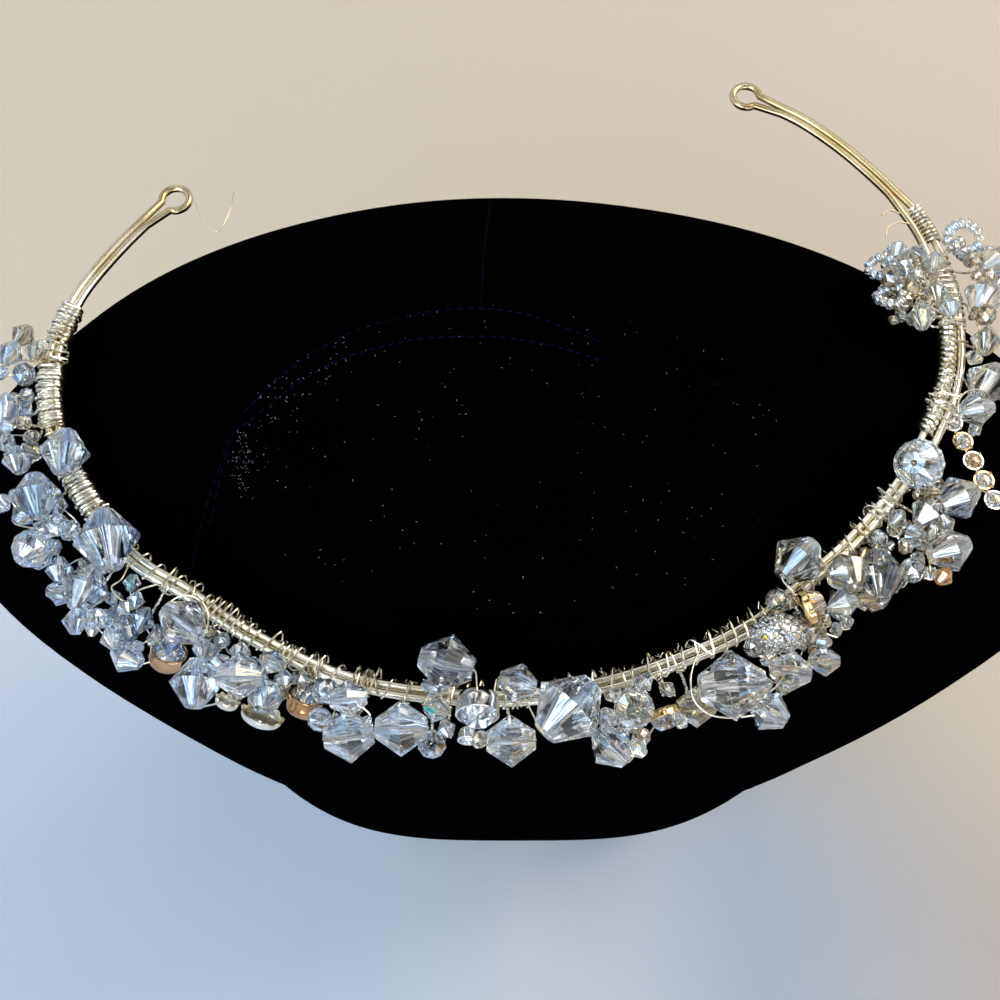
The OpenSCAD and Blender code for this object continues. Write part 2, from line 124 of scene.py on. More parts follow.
LINE = smooth(BAND_LINE, 12)
RUN = lengths(LINE)
BAND_LENGTH = RUN[-1]


def on_band(s):
    """A point of the band's middle line by its station, also a little past the tips."""
    s_in = min(max(s, 0), BAND_LENGTH)
    p = np.array([np.interp(s_in, RUN, LINE[:, 0]), np.interp(s_in, RUN, LINE[:, 1]), BAND_Z])
    if s != s_in:
        p = p + (s - s_in) * along(s_in)
    return p


def along(s):
    low, high = max(s - 0.5, 0), min(s + 0.5, BAND_LENGTH)
    return unit(on_band(high) - on_band(low))


def outward(s):
    t = along(s)
    return np.array([t[1], -t[0], 0.0])


def place(s, out, up):
    """The point at a station of the band, so far outward from it and up."""
    return on_band(s) + outward(s) * out + UP * up


def spread(s):
    return np.interp(s, [row[0] for row in SPREAD], [row[1] for row in SPREAD])


def nearest_station(point):
    gaps = np.hypot(LINE[:, 0] - point[0], LINE[:, 1] - point[1])
    return RUN[int(np.argmin(gaps))]


def bezier(a, b, c, d, steps):
    t = np.linspace(0, 1, steps + 1)[:, None]
    return (1 - t) ** 3 * a + 3 * (1 - t) ** 2 * t * b + 3 * (1 - t) * t**2 * c + t**3 * d


# Forms: each returns points and faces

def around(count):
    """The places of a ring, each with the next one."""
    return [(j, (j + 1) % count) for j in range(count)]


def quads(rings, count, closed=False):
    """The faces between rings of count points each; closed joins the last ring to the first."""
    steps = [(low * count, high * count) for low, high in around(rings)]
    return [(low + j, low + k, high + k, high + j)
            for low, high in (steps if closed else steps[:-1]) for j, k in around(count)]


def lids(rings, count):
    """The flat faces in the first and the last ring."""
    return [tuple(range(count - 1, -1, -1)), tuple((rings - 1) * count + j for j in range(count))]


def headings(path, closed=False):
    """The direction of a path at each of its points."""
    if closed:
        ahead = np.roll(path, -1, axis=0) - np.roll(path, 1, axis=0)
    else:
        ahead = np.gradient(path, axis=0)
    return ahead / (norm(ahead, axis=1)[:, None] + 1e-12)


def carried(ahead, side):
    """A direction across a path, carried along it without a twist."""
    out = []
    for t in ahead:
        side = unit(side - t * np.dot(side, t))
        out.append(side)
    return out


def tube(path, radius, sides, closed=False):
    """A round wire along a path, with rounded ends when it is open."""
    path = np.asarray(path, float)
    n = len(path)
    ahead = headings(path, closed)
    across = carried(ahead, np.cross(ahead[0], UP if abs(ahead[0][2]) < 0.9 else np.array([1.0, 0, 0])))
    turn = 0.0
    if closed:
        last = unit(across[0] - ahead[-1] * np.dot(across[0], ahead[-1]))
        turn = atan2(np.dot(np.cross(across[-1], last), ahead[-1]), np.dot(across[-1], last))
    radii = np.broadcast_to(np.asarray(radius, float), (n,))
    points = []
    angles = 2 * pi * np.arange(sides) / sides
    for i, (p, t, a) in enumerate(zip(path, ahead, across)):
        swing = (angles + turn * i / max(n - 1, 1))[:, None]
        points.append(p + radii[i] * (np.cos(swing) * a + np.sin(swing) * np.cross(t, a)))
    points = np.concatenate(points)
    faces = quads(n, sides, closed)
    if not closed:
        caps = [path[0] - ahead[0] * radii[0] * 0.6, path[-1] + ahead[-1] * radii[-1] * 0.6]
        points = np.vstack([points, caps])
        first, last_ring = len(points) - 2, (n - 1) * sides
        for j, k in around(sides):
            faces += [(first, k, j), (first + 1, last_ring + j, last_ring + k)]
    return points, faces


def revolve(profile, sides, closed=False):
    """A form turned round Z; profile holds radius and height. A closed profile makes a ring form."""
    angles = [2 * pi * j / sides for j in range(sides)]
    points = [(r * cos(a), r * sin(a), z) for r, z in profile for a in angles]
    rings = len(profile)
    return np.array(points), quads(rings, sides, closed) + ([] if closed else lids(rings, sides))


def ring(radius, z, count, shift=0.0, half_gap=None):
    """Points of a level ring; with half_gap each place holds a pair that far apart, in degrees."""
    pair = [0.0] if half_gap is None else [-half_gap, half_gap]
    angles = [radians(360 * (j + shift) / count + g) for j in range(count) for g in pair]
    return [(radius * cos(a), radius * sin(a), z) for a in angles]


def bored_ends(points, faces, top, bottom, count, hole, half_length):
    """Joins the rims at both ends of a bead to its bore."""
    shift = atan2(points[top][1], points[top][0]) * count / (2 * pi)
    base = len(points)
    points += ring(hole, half_length, count, shift) + ring(hole, -half_length, count, shift)
    for j, k in around(count):
        faces += [(top + j, top + k, base + k, base + j),
                  (bottom + k, bottom + j, base + count + j, base + count + k),
                  (base + j, base + k, base + count + k, base + count + j)]


# A bicone's rims, as a share of its radius, and its narrow facets, as a share of half its girdle
BICONE_RIM, NARROW = 0.36, 0.55


def bicone(length, hole, count):
    """A drilled bicone of radius 1 with long facets and narrow ones between them at the girdle."""
    half = length / 2
    points = ring(BICONE_RIM, half, count, 0.5) + ring(BICONE_RIM, -half, count, 0.5)
    girdle = len(points)
    points += ring(1.0, 0.0, count, 0.5, half_gap=90 / count * NARROW)
    faces = []
    for j, k in around(count):
        right, left, next_right = girdle + 2 * j, girdle + 2 * j + 1, girdle + 2 * k
        faces += [(j, right, left), (j, left, next_right, k),
                  (count + j, left, right), (count + j, count + k, next_right, left)]
    bored_ends(points, faces, 0, count, count, hole, half)
    return np.array(points), faces


def zigzag_bead(profile, hole, count):
    """A drilled bead of rings of triangles; profile holds height and radius from the top to the bottom."""
    points = []
    for i, (z, r) in enumerate(profile):
        points += ring(r, z, count, 0.5 * (i % 2))
    faces = []
    for i in range(len(profile) - 1):
        a, b = i * count, (i + 1) * count
        for j, k in around(count):
            if i % 2 == 0:
                faces += [(a + j, b + j, a + k), (a + k, b + j, b + k)]
            else:
                faces += [(a + j, b + j, b + k), (a + j, b + k, a + k)]
    bored_ends(points, faces, 0, (len(profile) - 1) * count, count, hole, profile[0][0])
    return np.array(points), faces


def round_bead(length, hole, count):
    h = length / 2
    return zigzag_bead([(h, 0.42), (0.5 * h, 0.88), (0, 1.0), (-0.5 * h, 0.88), (-h, 0.42)], hole, count)


def rondelle_bead(length, hole, count):
    h = length / 2
    return zigzag_bead([(h, 0.55), (0.4 * h, 0.96), (-0.4 * h, 0.96), (-h, 0.55)], hole, count)


def brilliant(radius, crown, pavilion):
    """A cut stone, its girdle at height 0: a table, stars, kites and girdle facets over a pointed back."""
    points = ring(0.55 * radius, crown, 8) + ring(0.8 * radius, 0.62 * crown, 8, 0.5)
    points += ring(radius, 0.0, 16) + [(0.0, 0.0, -pavilion)]
    middle, girdle, culet = 8, 16, 32
    faces, back = [tuple(range(8))], []
    for j, k in around(8):
        g, g1, g2 = (girdle + (2 * j + i) % 16 for i in range(3))
        faces += [(j, middle + j, k), (k, middle + j, g2, middle + k),
                  (middle + j, g, g1), (middle + j, g1, g2)]
        back += [(culet, g1, g), (culet, g2, g1)]
    return np.array(points), faces, back


# What a face has that isn't cut glass: no tint, no mirror, no painted streaks of reflection
PLAIN_TINT, PLAIN_REFLECTION_STREAKS = (1.0, 1.0, 1.0, 0.0), (0.0, 0.0, 0.0, 1.0)
# Smooth faces that meet at a steeper angle than this keep a sharp edge
SHARP = radians(42)


def in_scene(name, data):
    """A new object in the scene."""
    obj = bpy.data.objects.new(name, data)
    bpy.context.scene.collection.objects.link(obj)
    return obj


class Shape:
    """Points and faces of one piece, gathered from several forms."""

    def __init__(self):
        self.points, self.faces, self.groups, self.tints, self.reflection_streaks = [], [], [], [], []
        self.count = 0

    def add(self, points, faces, group=0, tints=None, reflection_streaks=None):
        base = self.count
        self.points.append(np.asarray(points, float))
        self.count += len(points)
        self.faces += [tuple(base + i for i in f) for f in faces]
        self.groups += [group] * len(faces)
        self.tints += tints or [PLAIN_TINT] * len(faces)
        self.reflection_streaks += reflection_streaks or [PLAIN_REFLECTION_STREAKS] * sum(len(f) for f in faces)

    def wire(self, path, radius, sides, group=0, closed=False):
        self.add(*tube(path, radius, sides, closed), group)

    def piece(self, name, materials, slot, nodes=(), rounded=(0,)):
        """The finished piece, riding with the body; faces of the groups in rounded are shaded smooth."""
        mesh = bpy.data.meshes.new(name)
        mesh.from_pydata((np.concatenate(self.points) * MM).tolist(), [], self.faces)
        for material in materials:
            mesh.materials.append(material)
        mesh.polygons.foreach_set("material_index", self.groups)
        mesh.polygons.foreach_set("use_smooth", [g in rounded for g in self.groups])
        corner_tints = [t for f, t in zip(self.faces, self.tints) for _ in f]
        # The layer tint holds each face's colour and mirror share, the other layer where the painted streaks
        # of reflection lie
        for layer, colours in (("tint", corner_tints), ("reflection_streaks", self.reflection_streaks)):
            attribute = mesh.color_attributes.new(layer, "FLOAT_COLOR", "CORNER")
            attribute.data.foreach_set("color", np.array(colours, np.float32).ravel())
        mesh.validate()
        mesh.update()
        if rounded:
            mesh.set_sharp_from_angle(angle=SHARP)
        obj = in_scene(name, mesh)
        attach(obj, "root")
        if nodes:
            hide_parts(*nodes)
        return obj


# What the frame's nodes say about beads and cups

def islands(node):
    """The loose solids of a CAD node, each an array of points in millimetres."""
    copy = bmesh.new()
    copy.from_mesh(frame["nodes"][node].data)
    bmesh.ops.remove_doubles(copy, verts=copy.verts, dist=1e-6)
    seen, found = set(), []
    for start in copy.verts:
        if start.index in seen:
            continue
        group, todo = [], [start]
        seen.add(start.index)
        while todo:
            v = todo.pop()
            group.append(tuple(v.co / MM))
            for e in v.link_edges:
                w = e.other_vert(v)
                if w.index not in seen:
                    seen.add(w.index)
                    todo.append(w)
        found.append(np.array(group))
    copy.free()
    return sorted(found, key=lambda g: nearest_station(g.mean(0)))


def lathe_frame(points, axis=None):
    """Centre, axis, radius and length of a turned solid, from its points."""
    centre = points.mean(0)
    offsets = points - centre
    if axis is None:
        values, vectors = np.linalg.eigh(offsets.T @ offsets)
        axis = vectors[:, 0 if values[1] - values[0] > values[2] - values[1] else 2]
    heights = offsets @ axis
    radius = norm(offsets - heights[:, None] * axis, axis=1).max()
    return centre, axis, radius, heights.max() - heights.min()


# A CAD bead of at least so many points is a round one
ROUND_POINTS = 60


def bead_frame(points):
    """The same of a bead: the rims of its hole are the points nearest to its middle."""
    offsets = points - points.mean(0)
    count = 20 if len(points) >= ROUND_POINTS else 16
    rims = offsets[np.argsort(norm(offsets, axis=1))[:count]]
    return lathe_frame(points, np.linalg.eigh(rims.T @ rims)[1][:, 2])


def turn_to(axis, spin=0.0):
    """Rotation that brings Z to the axis, after a turn round Z."""
    tilt = Vector((0, 0, 1)).rotation_difference(Vector(axis)).to_matrix()
    return np.array(tilt @ Matrix.Rotation(spin, 3, "Z"))


def set_at(points, centre, axis, scale=1.0, spin=0.0):
    return (np.asarray(points) * scale) @ turn_to(axis, spin).T + centre


# Materials

def tree(name):
    material = bpy.data.materials.new(name)
    material.use_nodes = True
    return material, material.node_tree, material.node_tree.nodes["Principled BSDF"]


def plug(nt, socket, value):
    """Links a socket to another one, or sets its value."""
    if isinstance(value, bpy.types.NodeSocket):
        nt.links.new(value, socket)
    else:
        socket.default_value = value


def feed(nt, node, **inputs):
    """Plugs a node's inputs, named with _ for a space."""
    for key, value in inputs.items():
        plug(nt, node.inputs[key.replace("_", " ")], value)


def add(nt, kind, settings=None, **inputs):
    """A new node with its settings and inputs."""
    node = nt.nodes.new(kind)
    for key, value in (settings or {}).items():
        setattr(node, key, value)
    feed(nt, node, **inputs)
    return node


def where_on(nt):
    """The place in the object's own axes, which are the frame's."""
    return add(nt, "ShaderNodeTexCoord").outputs["Object"]


def noise(nt, scale, detail=3.0, roughness=0.5):
    node = add(nt, "ShaderNodeTexNoise", Vector=where_on(nt), Scale=scale, Detail=detail, Roughness=roughness)
    return node.outputs["Fac"]


def ramp(nt, factor, stops):
    """A colour ramp; stops hold position and colour."""
    node = add(nt, "ShaderNodeValToRGB", Fac=factor)
    bar = node.color_ramp
    while len(bar.elements) < len(stops):
        bar.elements.new(0.5)
    for element, (position, colour) in zip(bar.elements, stops):
        element.position = position
        element.color = (*colour, 1.0)
    return node.outputs["Color"]


# The sockets of a Mix node that are for colours: share, A and B, and its result
MIX_INPUTS, MIX_RESULT = (0, 6, 7), 2


def mixed(nt, kind, a, b, share=1.0):
    """Two colours put together, b over a by its share."""
    node = nt.nodes.new("ShaderNodeMix")
    node.data_type = "RGBA"
    node.blend_type = kind
    for index, value in zip(MIX_INPUTS, (share, a, b)):
        plug(nt, node.inputs[index], value)
    return node.outputs[MIX_RESULT]


def bump(nt, shader, height, strength, distance):
    node = add(nt, "ShaderNodeBump", Height=height, Strength=strength, Distance=distance)
    plug(nt, shader.inputs["Normal"], node.outputs["Normal"])


def math_node(nt, operation, *values, clamp=False):
    node = add(nt, "ShaderNodeMath", {"operation": operation, "use_clamp": clamp})
    for socket, value in zip(node.inputs, values):
        plug(nt, socket, value)
    return node.outputs["Value"]


def mapped(nt, value, low, high, to_low=0.0, to_high=1.0, kind="LINEAR"):
    """A value brought from one range to another."""
    node = add(nt, "ShaderNodeMapRange", {"interpolation_type": kind}, Value=value,
               From_Min=low, From_Max=high, To_Min=to_low, To_Max=to_high)
    return node.outputs["Result"]


# Refraction of the crystal, and how dark its painted streaks of reflection are
CRYSTAL_IOR, STREAK_TONE = 1.62, 0.35
WHITE = (1.0, 1.0, 1.0)


def crystal_material(name, low, high, rough=0.01):
    """Cut crystal: the facets' tints over the glass's colour, streaked from hole to hole with painted
    reflections, dark to white, for what they mirror inside the bead.

    The layer tint holds a facet's colour, and in its alpha how much of it is a mirror.
    """
    material, nt, shader = tree(name)
    where = add(nt, "ShaderNodeVertexColor", {"layer_name": "reflection_streaks"}).outputs["Color"]
    streaks = add(nt, "ShaderNodeTexNoise", Vector=where, Scale=1.0, Detail=1.5).outputs["Fac"]
    # Painted reflections: streaks from a dark shade of the glass's colour up to white, and a mirror share
    # that follows them
    dark = tuple(STREAK_TONE * c for c in low)
    painted_reflections = ramp(nt, streaks, [(0.36, dark), (0.42, low), (0.56, high), (0.66, WHITE)])
    facet = add(nt, "ShaderNodeVertexColor", {"layer_name": "tint"}).outputs
    mirror = math_node(nt, "MULTIPLY", facet["Alpha"], mapped(nt, streaks, 0.38, 0.6, 0.2, 1.2), clamp=True)
    feed(nt, shader, Base_Color=mixed(nt, "MULTIPLY", facet["Color"], painted_reflections), Metallic=mirror,
         Roughness=rough, IOR=CRYSTAL_IOR, Transmission_Weight=1.0)
    bump(nt, shader, streaks, 1.0, 0.000007)
    return material


def metal_material(name, light, dark, rough_low, rough_high, depth=0.00003, behind=WHITE):
    """Polished plate or wire: a tone that drifts along it at random, painted shade toward the back in the
    colour behind, fine bumps, worn roughness.
    """
    material, nt, shader = tree(name)
    drift = ramp(nt, noise(nt, 180.0, 2.0), [(0.35, dark), (0.62, light)])
    # Painted shade: toward the back, from y 16 to 30 mm, the tone is multiplied by the colour behind
    y = add(nt, "ShaderNodeSeparateXYZ", Vector=where_on(nt)).outputs["Y"]
    wear = noise(nt, 2500.0, 4.0)
    feed(nt, shader, Base_Color=mixed(nt, "MULTIPLY", drift, (*behind, 1.0), mapped(nt, y, 0.016, 0.03)),
         Roughness=mapped(nt, wear, 0.0, 1.0, rough_low, rough_high), Metallic=1.0)
    bump(nt, shader, wear, 0.25, depth)
    return material


def velvet_material():
    material, nt, shader = tree("velvet")
    patches = [(0.3, (0.0003, 0.0003, 0.0004)), (0.75, (0.0008, 0.0007, 0.001))]
    feed(nt, shader, Base_Color=ramp(nt, noise(nt, 22.0, 3.0), patches), Roughness=1.0,
         Specular_IOR_Level=0.0, Sheen_Weight=0.003, Sheen_Roughness=0.35, Sheen_Tint=(0.45, 0.5, 0.75, 1.0))
    bump(nt, shader, noise(nt, 2600.0, 5.0, 0.65), 0.8, 0.0006)
    return material


def thread_material(name, low, high):
    material, nt, shader = tree(name)
    feed(nt, shader, Base_Color=ramp(nt, noise(nt, 1500.0), [(0.3, low), (0.7, high)]), Roughness=0.9,
         Specular_IOR_Level=0.05)
    bump(nt, shader, noise(nt, 6000.0, 2.0), 0.5, 0.0001)
    return material


# The floor's tones in front of the bust, from left to right, and behind it
FLOOR_FRONT = [(0.0, (0.54, 0.58, 0.68)), (0.3, (0.51, 0.60, 0.72)), (0.5, (0.64, 0.65, 0.68)),
               (0.72, (0.38, 0.43, 0.51)), (1.0, (0.45, 0.38, 0.33))]
FLOOR_BACK = (0.60, 0.53, 0.43)


def floor_material():
    """Pale paper, cream behind the bust, a cool blue-grey in front of it and browner at its right."""
    material, nt, shader = tree("floor_paper")
    split = add(nt, "ShaderNodeSeparateXYZ", Vector=where_on(nt)).outputs
    slant = math_node(nt, "MULTIPLY_ADD", split["X"], 0.3, split["Y"])
    front = ramp(nt, mapped(nt, split["X"], -0.12, 0.12), FLOOR_FRONT)
    tone = mixed(nt, "MIX", front, (*FLOOR_BACK, 1.0), mapped(nt, slant, -0.035, 0.055, kind="SMOOTHSTEP"))
    soft = ramp(nt, noise(nt, 3.0, 2.0), [(0.3, (0.97, 0.97, 0.97)), (0.7, WHITE)])
    feed(nt, shader, Base_Color=mixed(nt, "MULTIPLY", tone, soft), Roughness=0.85)
    bump(nt, shader, noise(nt, 700.0, 4.0), 0.1, 0.0004)
    return material


VELVET = velvet_material()
STITCH = thread_material("stitch_thread", (0.0006, 0.0009, 0.008), (0.0025, 0.004, 0.036))
LINT = thread_material("lint_fibre", (0.03, 0.033, 0.05), (0.30, 0.33, 0.42))
# The band's wire gets painted shade toward the back, darker and browner
BAND = metal_material("band_silver", (0.93, 0.89, 0.78), (0.74, 0.66, 0.47), 0.14, 0.32,
                      behind=(0.72, 0.62, 0.42))
FINE = metal_material("fine_silver", (0.93, 0.90, 0.80), (0.74, 0.67, 0.49), 0.14, 0.3)
SILVER = metal_material("silver_plate", (0.86, 0.84, 0.80), (0.70, 0.65, 0.58), 0.06, 0.2)
GOLD = metal_material("gold_plate", (0.90, 0.68, 0.34), (0.70, 0.45, 0.18), 0.08, 0.2)
ROSE = metal_material("rose_plate", (0.74, 0.46, 0.25), (0.38, 0.19, 0.08), 0.06, 0.18)
FOIL = metal_material("stone_foil", (0.95, 0.95, 0.97), (0.80, 0.84, 0.90), 0.02, 0.05, depth=0.000004)
CLEAR = crystal_material("clear_crystal", (0.93, 0.95, 0.98), WHITE)
SMOKE = crystal_material("smoke_crystal", (0.50, 0.54, 0.60), (0.80, 0.82, 0.86))
CHAMPAGNE = crystal_material("champagne_crystal", (0.88, 0.76, 0.60), (0.98, 0.90, 0.78))
AMBER = crystal_material("amber_crystal", (0.85, 0.45, 0.16), (0.95, 0.62, 0.28))
SEED = crystal_material("seed_glass", (0.84, 0.91, 1.0), WHITE, 0.03)

# Facets, columns: colour, how much of the facet mirrors, share of the facets; the tinted colours are painted
# reflections of cool, warm or dim light
FACETS = [
    (1.0, 1.0, 1.0, 0.05, 0.26),
    (0.86, 0.93, 1.0, 0.2, 0.12),
    (1.0, 0.94, 0.84, 0.15, 0.08),
    (0.98, 0.99, 1.0, 0.75, 0.15),
    (0.68, 0.84, 1.0, 0.6, 0.15),
    (1.0, 0.88, 0.70, 0.5, 0.10),
    (0.62, 0.68, 0.78, 0.4, 0.09),
    (0.80, 0.78, 0.94, 0.45, 0.03),
    (0.46, 0.40, 0.36, 0.35, 0.03),
]
# Painted flashes of pure coloured light, with their mirror; the last one shows only where FLASHES puts it,
# and the others also in a small share of the facets
VIVID = [(1.0, 0.35, 0.03, 0.8), (0.05, 0.8, 0.8, 0.8), (1.0, 0.85, 0.05, 0.8), (0.15, 0.3, 1.0, 0.8),
         (0.02, 0.45, 0.2, 0.8)]
VIVID_SHARE = 0.002


def facet_tints(faces, draws, warm):
    """A tint for each facet: clear, or a painted reflection of cool or warm light, and now and then a painted
    flash of colour.
    """
    shares = [row[4] for row in FACETS]
    out = []
    for _ in faces:
        if draws.random() < VIVID_SHARE:
            out.append(draws.choice(VIVID[:4]))
            continue
        r, g, b, mirror = draws.choices(FACETS, shares)[0][:4]
        tone = draws.uniform(-0.5, 1.0) * (warm - 0.5) * 0.5
        colour = (min(1.0, c) for c in (r + tone, g + 0.4 * min(tone, 0.0), b - tone))
        out.append((*colour, mirror * draws.uniform(0.7, 1.1)))
    return out


# How many painted streaks of reflection there are to a radian round a bead
STREAKS = 13.0


def streaks(points, faces, draws):
    """Where each corner of each facet lies in the pattern of painted streaks of reflection, which shifts from
    facet to facet.
    """
    angles = np.arctan2(points[:, 1], points[:, 0])
    out = []
    for face in faces:
        middle = points[list(face)].mean(0)
        facing = atan2(middle[1], middle[0])
        shift = draws.uniform(0, 40)
        for i in face:
            turn = (angles[i] - facing + pi) % (2 * pi) - pi
            out.append((STREAKS * turn + shift, 0.7 * points[i][2], shift, 1.0))
    return out


def warmth(point):
    """From 0 at the left of the tiara, which faces the cool window, up to its right half, where the painted
    reflections turn warm.
    """
    return min(max((point[0] + 60) / 90, 0.0), 0.85)


# The bust

BUST_SIDES = 144


def bust_ring(row, inset=0.0, lift=0.0):
    """One row of BUST as a ring of points, drawn in and lifted by so much."""
    z_front, z_back, mid_x, half_w, y_front, y_back, power_front, power_back = row
    half_d, mid_y = (y_back - y_front) / 2, (y_back + y_front) / 2
    slope = (z_back - z_front) / (y_back - y_front)
    a = 2 * pi * np.arange(BUST_SIDES) / BUST_SIDES
    power = np.where(np.sin(a) < 0, power_front, power_back)
    x = np.sign(np.cos(a)) * np.abs(np.cos(a)) ** (2 / power)
    y = (half_d - inset) * np.sign(np.sin(a)) * np.abs(np.sin(a)) ** (2 / power)
    return np.stack([mid_x + (half_w - inset) * x, mid_y + y, z_front + lift + slope * (y + half_d)], axis=1)


def loft(rings):
    """Joins rings of equal count into a closed form."""
    first, last = lids(len(rings), len(rings[0]))
    return np.concatenate(rings), [first] + quads(len(rings), len(rings[0])) + [last]


# The padded disc, columns: height over the neck, inset of its edge
DISC = [(0.15, 1.2), (0.5, 0.4), (1.1, 0.0), (1.8, 0.25), (2.3, 0.9), (2.55, 1.9), (2.62, 3.2), (2.6, 4.4),
        (2.75, 5.6), (3.0, 8.0), (3.2, 14.0), (3.3, 24.0), (3.3, 32.0)]


def bust():
    shape = Shape()
    shape.add(*loft([bust_ring(row) for row in smooth(BUST, 8)]))
    return shape.piece("velvet_bust", [VELVET], "velvet", ["bust_body"])


def disc():
    shape = Shape()
    shape.add(*loft([bust_ring(BUST[-1], inset, height) for height, inset in smooth(DISC, 3)]))
    return shape.piece("velvet_disc", [VELVET], "velvet", ["neck_disc"])


# A height over everything
OVERHEAD = 200.0


def drop_to(obj, x, y):
    """The point of a piece below x, y and the direction that its surface faces, or None beside it."""
    hit, where, normal, _ = obj.ray_cast(Vector((x, y, OVERHEAD)) * MM, Vector((0, 0, -1)))
    return (np.array(where) / MM, np.array(normal)) if hit else None


# The rows of stitches where they show, at the neck's left and behind, columns: x, y
STITCH_LINES = [
    [(-48.2, -30), (-47.6, -26.4), (-45.8, -21.1), (-41.8, -16.2), (-37.1, -11.9), (-32.1, -7.6),
     (-26.8, -4.2), (-21.5, -2), (-16, -0.8), (-9, -0.4), (-2, -1.3), (4, -3.4), (8.1, -5)],
    [(-45.6, -24.4), (-44, -20.3), (-41.6, -17.4), (-38.5, -15.3), (-33, -11), (-26.7, -7.4), (-20, -5.4),
     (-14.7, -4.5), (-6, -4.4), (1.5, -5.6), (8.1, -7.6)],
]
# The seam down the back of the neck
SEAM_LINE = [(-8, -0.5), (-7.8, 7), (-7.6, 15), (-7.1, 23), (-6.8, 29.2), (-6.8, 31)]


def sewn(shape, pieces, line, stitch, space, thickness, draws):
    """Short stitches along a line that is dropped onto the pieces."""
    route = smooth(line, 30)
    run = lengths(route)
    at = 0.0
    while at < run[-1] - stitch:
        path = []
        for share in (0.0, 0.5, 1.0):
            x, y = (np.interp(at + stitch * share, run, route[:, i]) for i in (0, 1))
            hits = [hit for hit in (drop_to(piece, x, y) for piece in pieces) if hit]
            point, normal = max(hits, key=lambda hit: hit[0][2])
            path.append(point + normal * (0.9 * thickness if share == 0.5 else -0.2 * thickness))
        shape.wire(smooth(path, 3), thickness, 6)
        at += stitch + space * draws.uniform(0.7, 1.3)


def stitches(pieces):
    """The double row of stitches on the neck and the seam behind it."""
    shape = Shape()
    draws = random.Random(11)
    for line in STITCH_LINES:
        sewn(shape, pieces, line, 0.7, 0.65, 0.09, draws)
    sewn(shape, pieces, SEAM_LINE, 2.4, 0.25, 0.045, draws)
    shape.piece("neck_stitches", [STITCH], "velvet")


# Lint lies on an oval of the disc, thicker toward its left rim and thickest in one spot there
LINT_SPECKS = 300
LINT_MIDDLE, LINT_OVAL = np.array([-4.0, -20.0]), np.array([37.0, 20.5])
LINT_SPOT, LINT_SCATTER = (-39.4, -20.6), (0.9, 2.2)


def lint(obj):
    """Specks of lint lying on the disc."""
    shape = Shape()
    draws = random.Random(5)
    for k in range(LINT_SPECKS):
        angle = draws.uniform(0, 2 * pi)
        reach = sqrt(draws.random())
        if k % 3 == 0:
            angle, reach = draws.gauss(2.7, 0.35), draws.uniform(0.80, 1.0)
        x, y = LINT_MIDDLE + reach * (LINT_OVAL * (cos(angle), sin(angle)))
        if k % 5 == 0:
            x, y = (draws.gauss(*spot) for spot in zip(LINT_SPOT, LINT_SCATTER))
        hit = drop_to(obj, x, y)
        if not hit:
            continue
        point, normal = hit
        heading = draws.uniform(0, pi)
        reach = np.array([cos(heading), sin(heading), 0.0]) * draws.uniform(0.03, 0.16)
        bend = np.array([draws.uniform(-0.04, 0.04), draws.uniform(-0.04, 0.04), 0.05])
        low = point + normal * 0.05
        shape.wire([low - reach, low + bend, low + reach], draws.uniform(0.015, 0.04), 4)
    shape.piece("disc_lint", [LINT], "velvet")


# The band and its wires

def core_rods():
    stations = np.linspace(4 * LOOP_R, BAND_LENGTH - 4 * LOOP_R, 260)
    outer = [place(s, spread(s), 0) for s in stations]
    inner = [place(s, -spread(s), 0) for s in stations[::-1]]
    turns = np.radians(np.linspace(-150, 150, 25))
    right = [place(BAND_LENGTH - LOOP_R * (1 - cos(a)), -LOOP_R * sin(a), 0) for a in turns]
    left = [place(LOOP_R * (1 - cos(a)), LOOP_R * sin(a), 0) for a in turns]
    path = outer + right + inner + left
    shape = Shape()
    shape.wire(path, CORE_R, 24, closed=True)
    shape.piece("band_rods", [BAND], "band_wire", ["core_band"])


# How many points a turn of wire has, and how square it is round both wires of the band; 2 would be an oval
TURN_POINTS, SQUARENESS = 20, 2.6


def turn_point(s, angle, wire_r, slack, rod=0):
    """A point of a wrap round both wires of the band (rod 0), its inner (-1) or its outer wire (1)."""
    r = CORE_R + wire_r
    c, d = cos(angle), sin(angle)
    if rod:
        return place(s, rod * spread(s) + r * c, r * d)
    flat = 2 / SQUARENESS
    out = (spread(s) + r) * copysign(abs(c) ** flat, c)
    loose = slack * max(0.0, -c) ** 3
    return place(s, out - loose, r * copysign(abs(d) ** flat, d) + 0.4 * loose)


def winding(pitches, first, wire_r, slacks, hand=1, start=0.0):
    """The path of a wire wound round the band, a pitch and a slack for each turn."""
    path, s = [], first
    for pitch, slack in zip(pitches, slacks):
        for k in range(TURN_POINTS):
            angle = start + 2 * hand * pi * k / TURN_POINTS
            path.append(turn_point(s + pitch * k / TURN_POINTS, angle, wire_r, slack))
        s += pitch
    return path


# Tight wraps, columns: node, first and last station, pitch, wire radius, then 0 where it holds both wires of
# the band, -1 the inner and 1 the outer one
COILS = [
    ("coil_left_end", 26.0, 32.4, 0.62, 0.27, 0),
    ("coil_left_side", 36.6, 46.4, 0.64, 0.28, 0),
    ("coil_left_front", 54.6, 61.8, 0.66, 0.28, 0),
    ("coil_right_side", 203.6, 222.4, 0.95, 0.39, -1),
    ("coil_right_end", 237.6, 243.9, 0.66, 0.28, 1),
]
# A coil round both wires swells at every third turn or so
SWELL, SWELL_PITCH = 0.16, 1.8


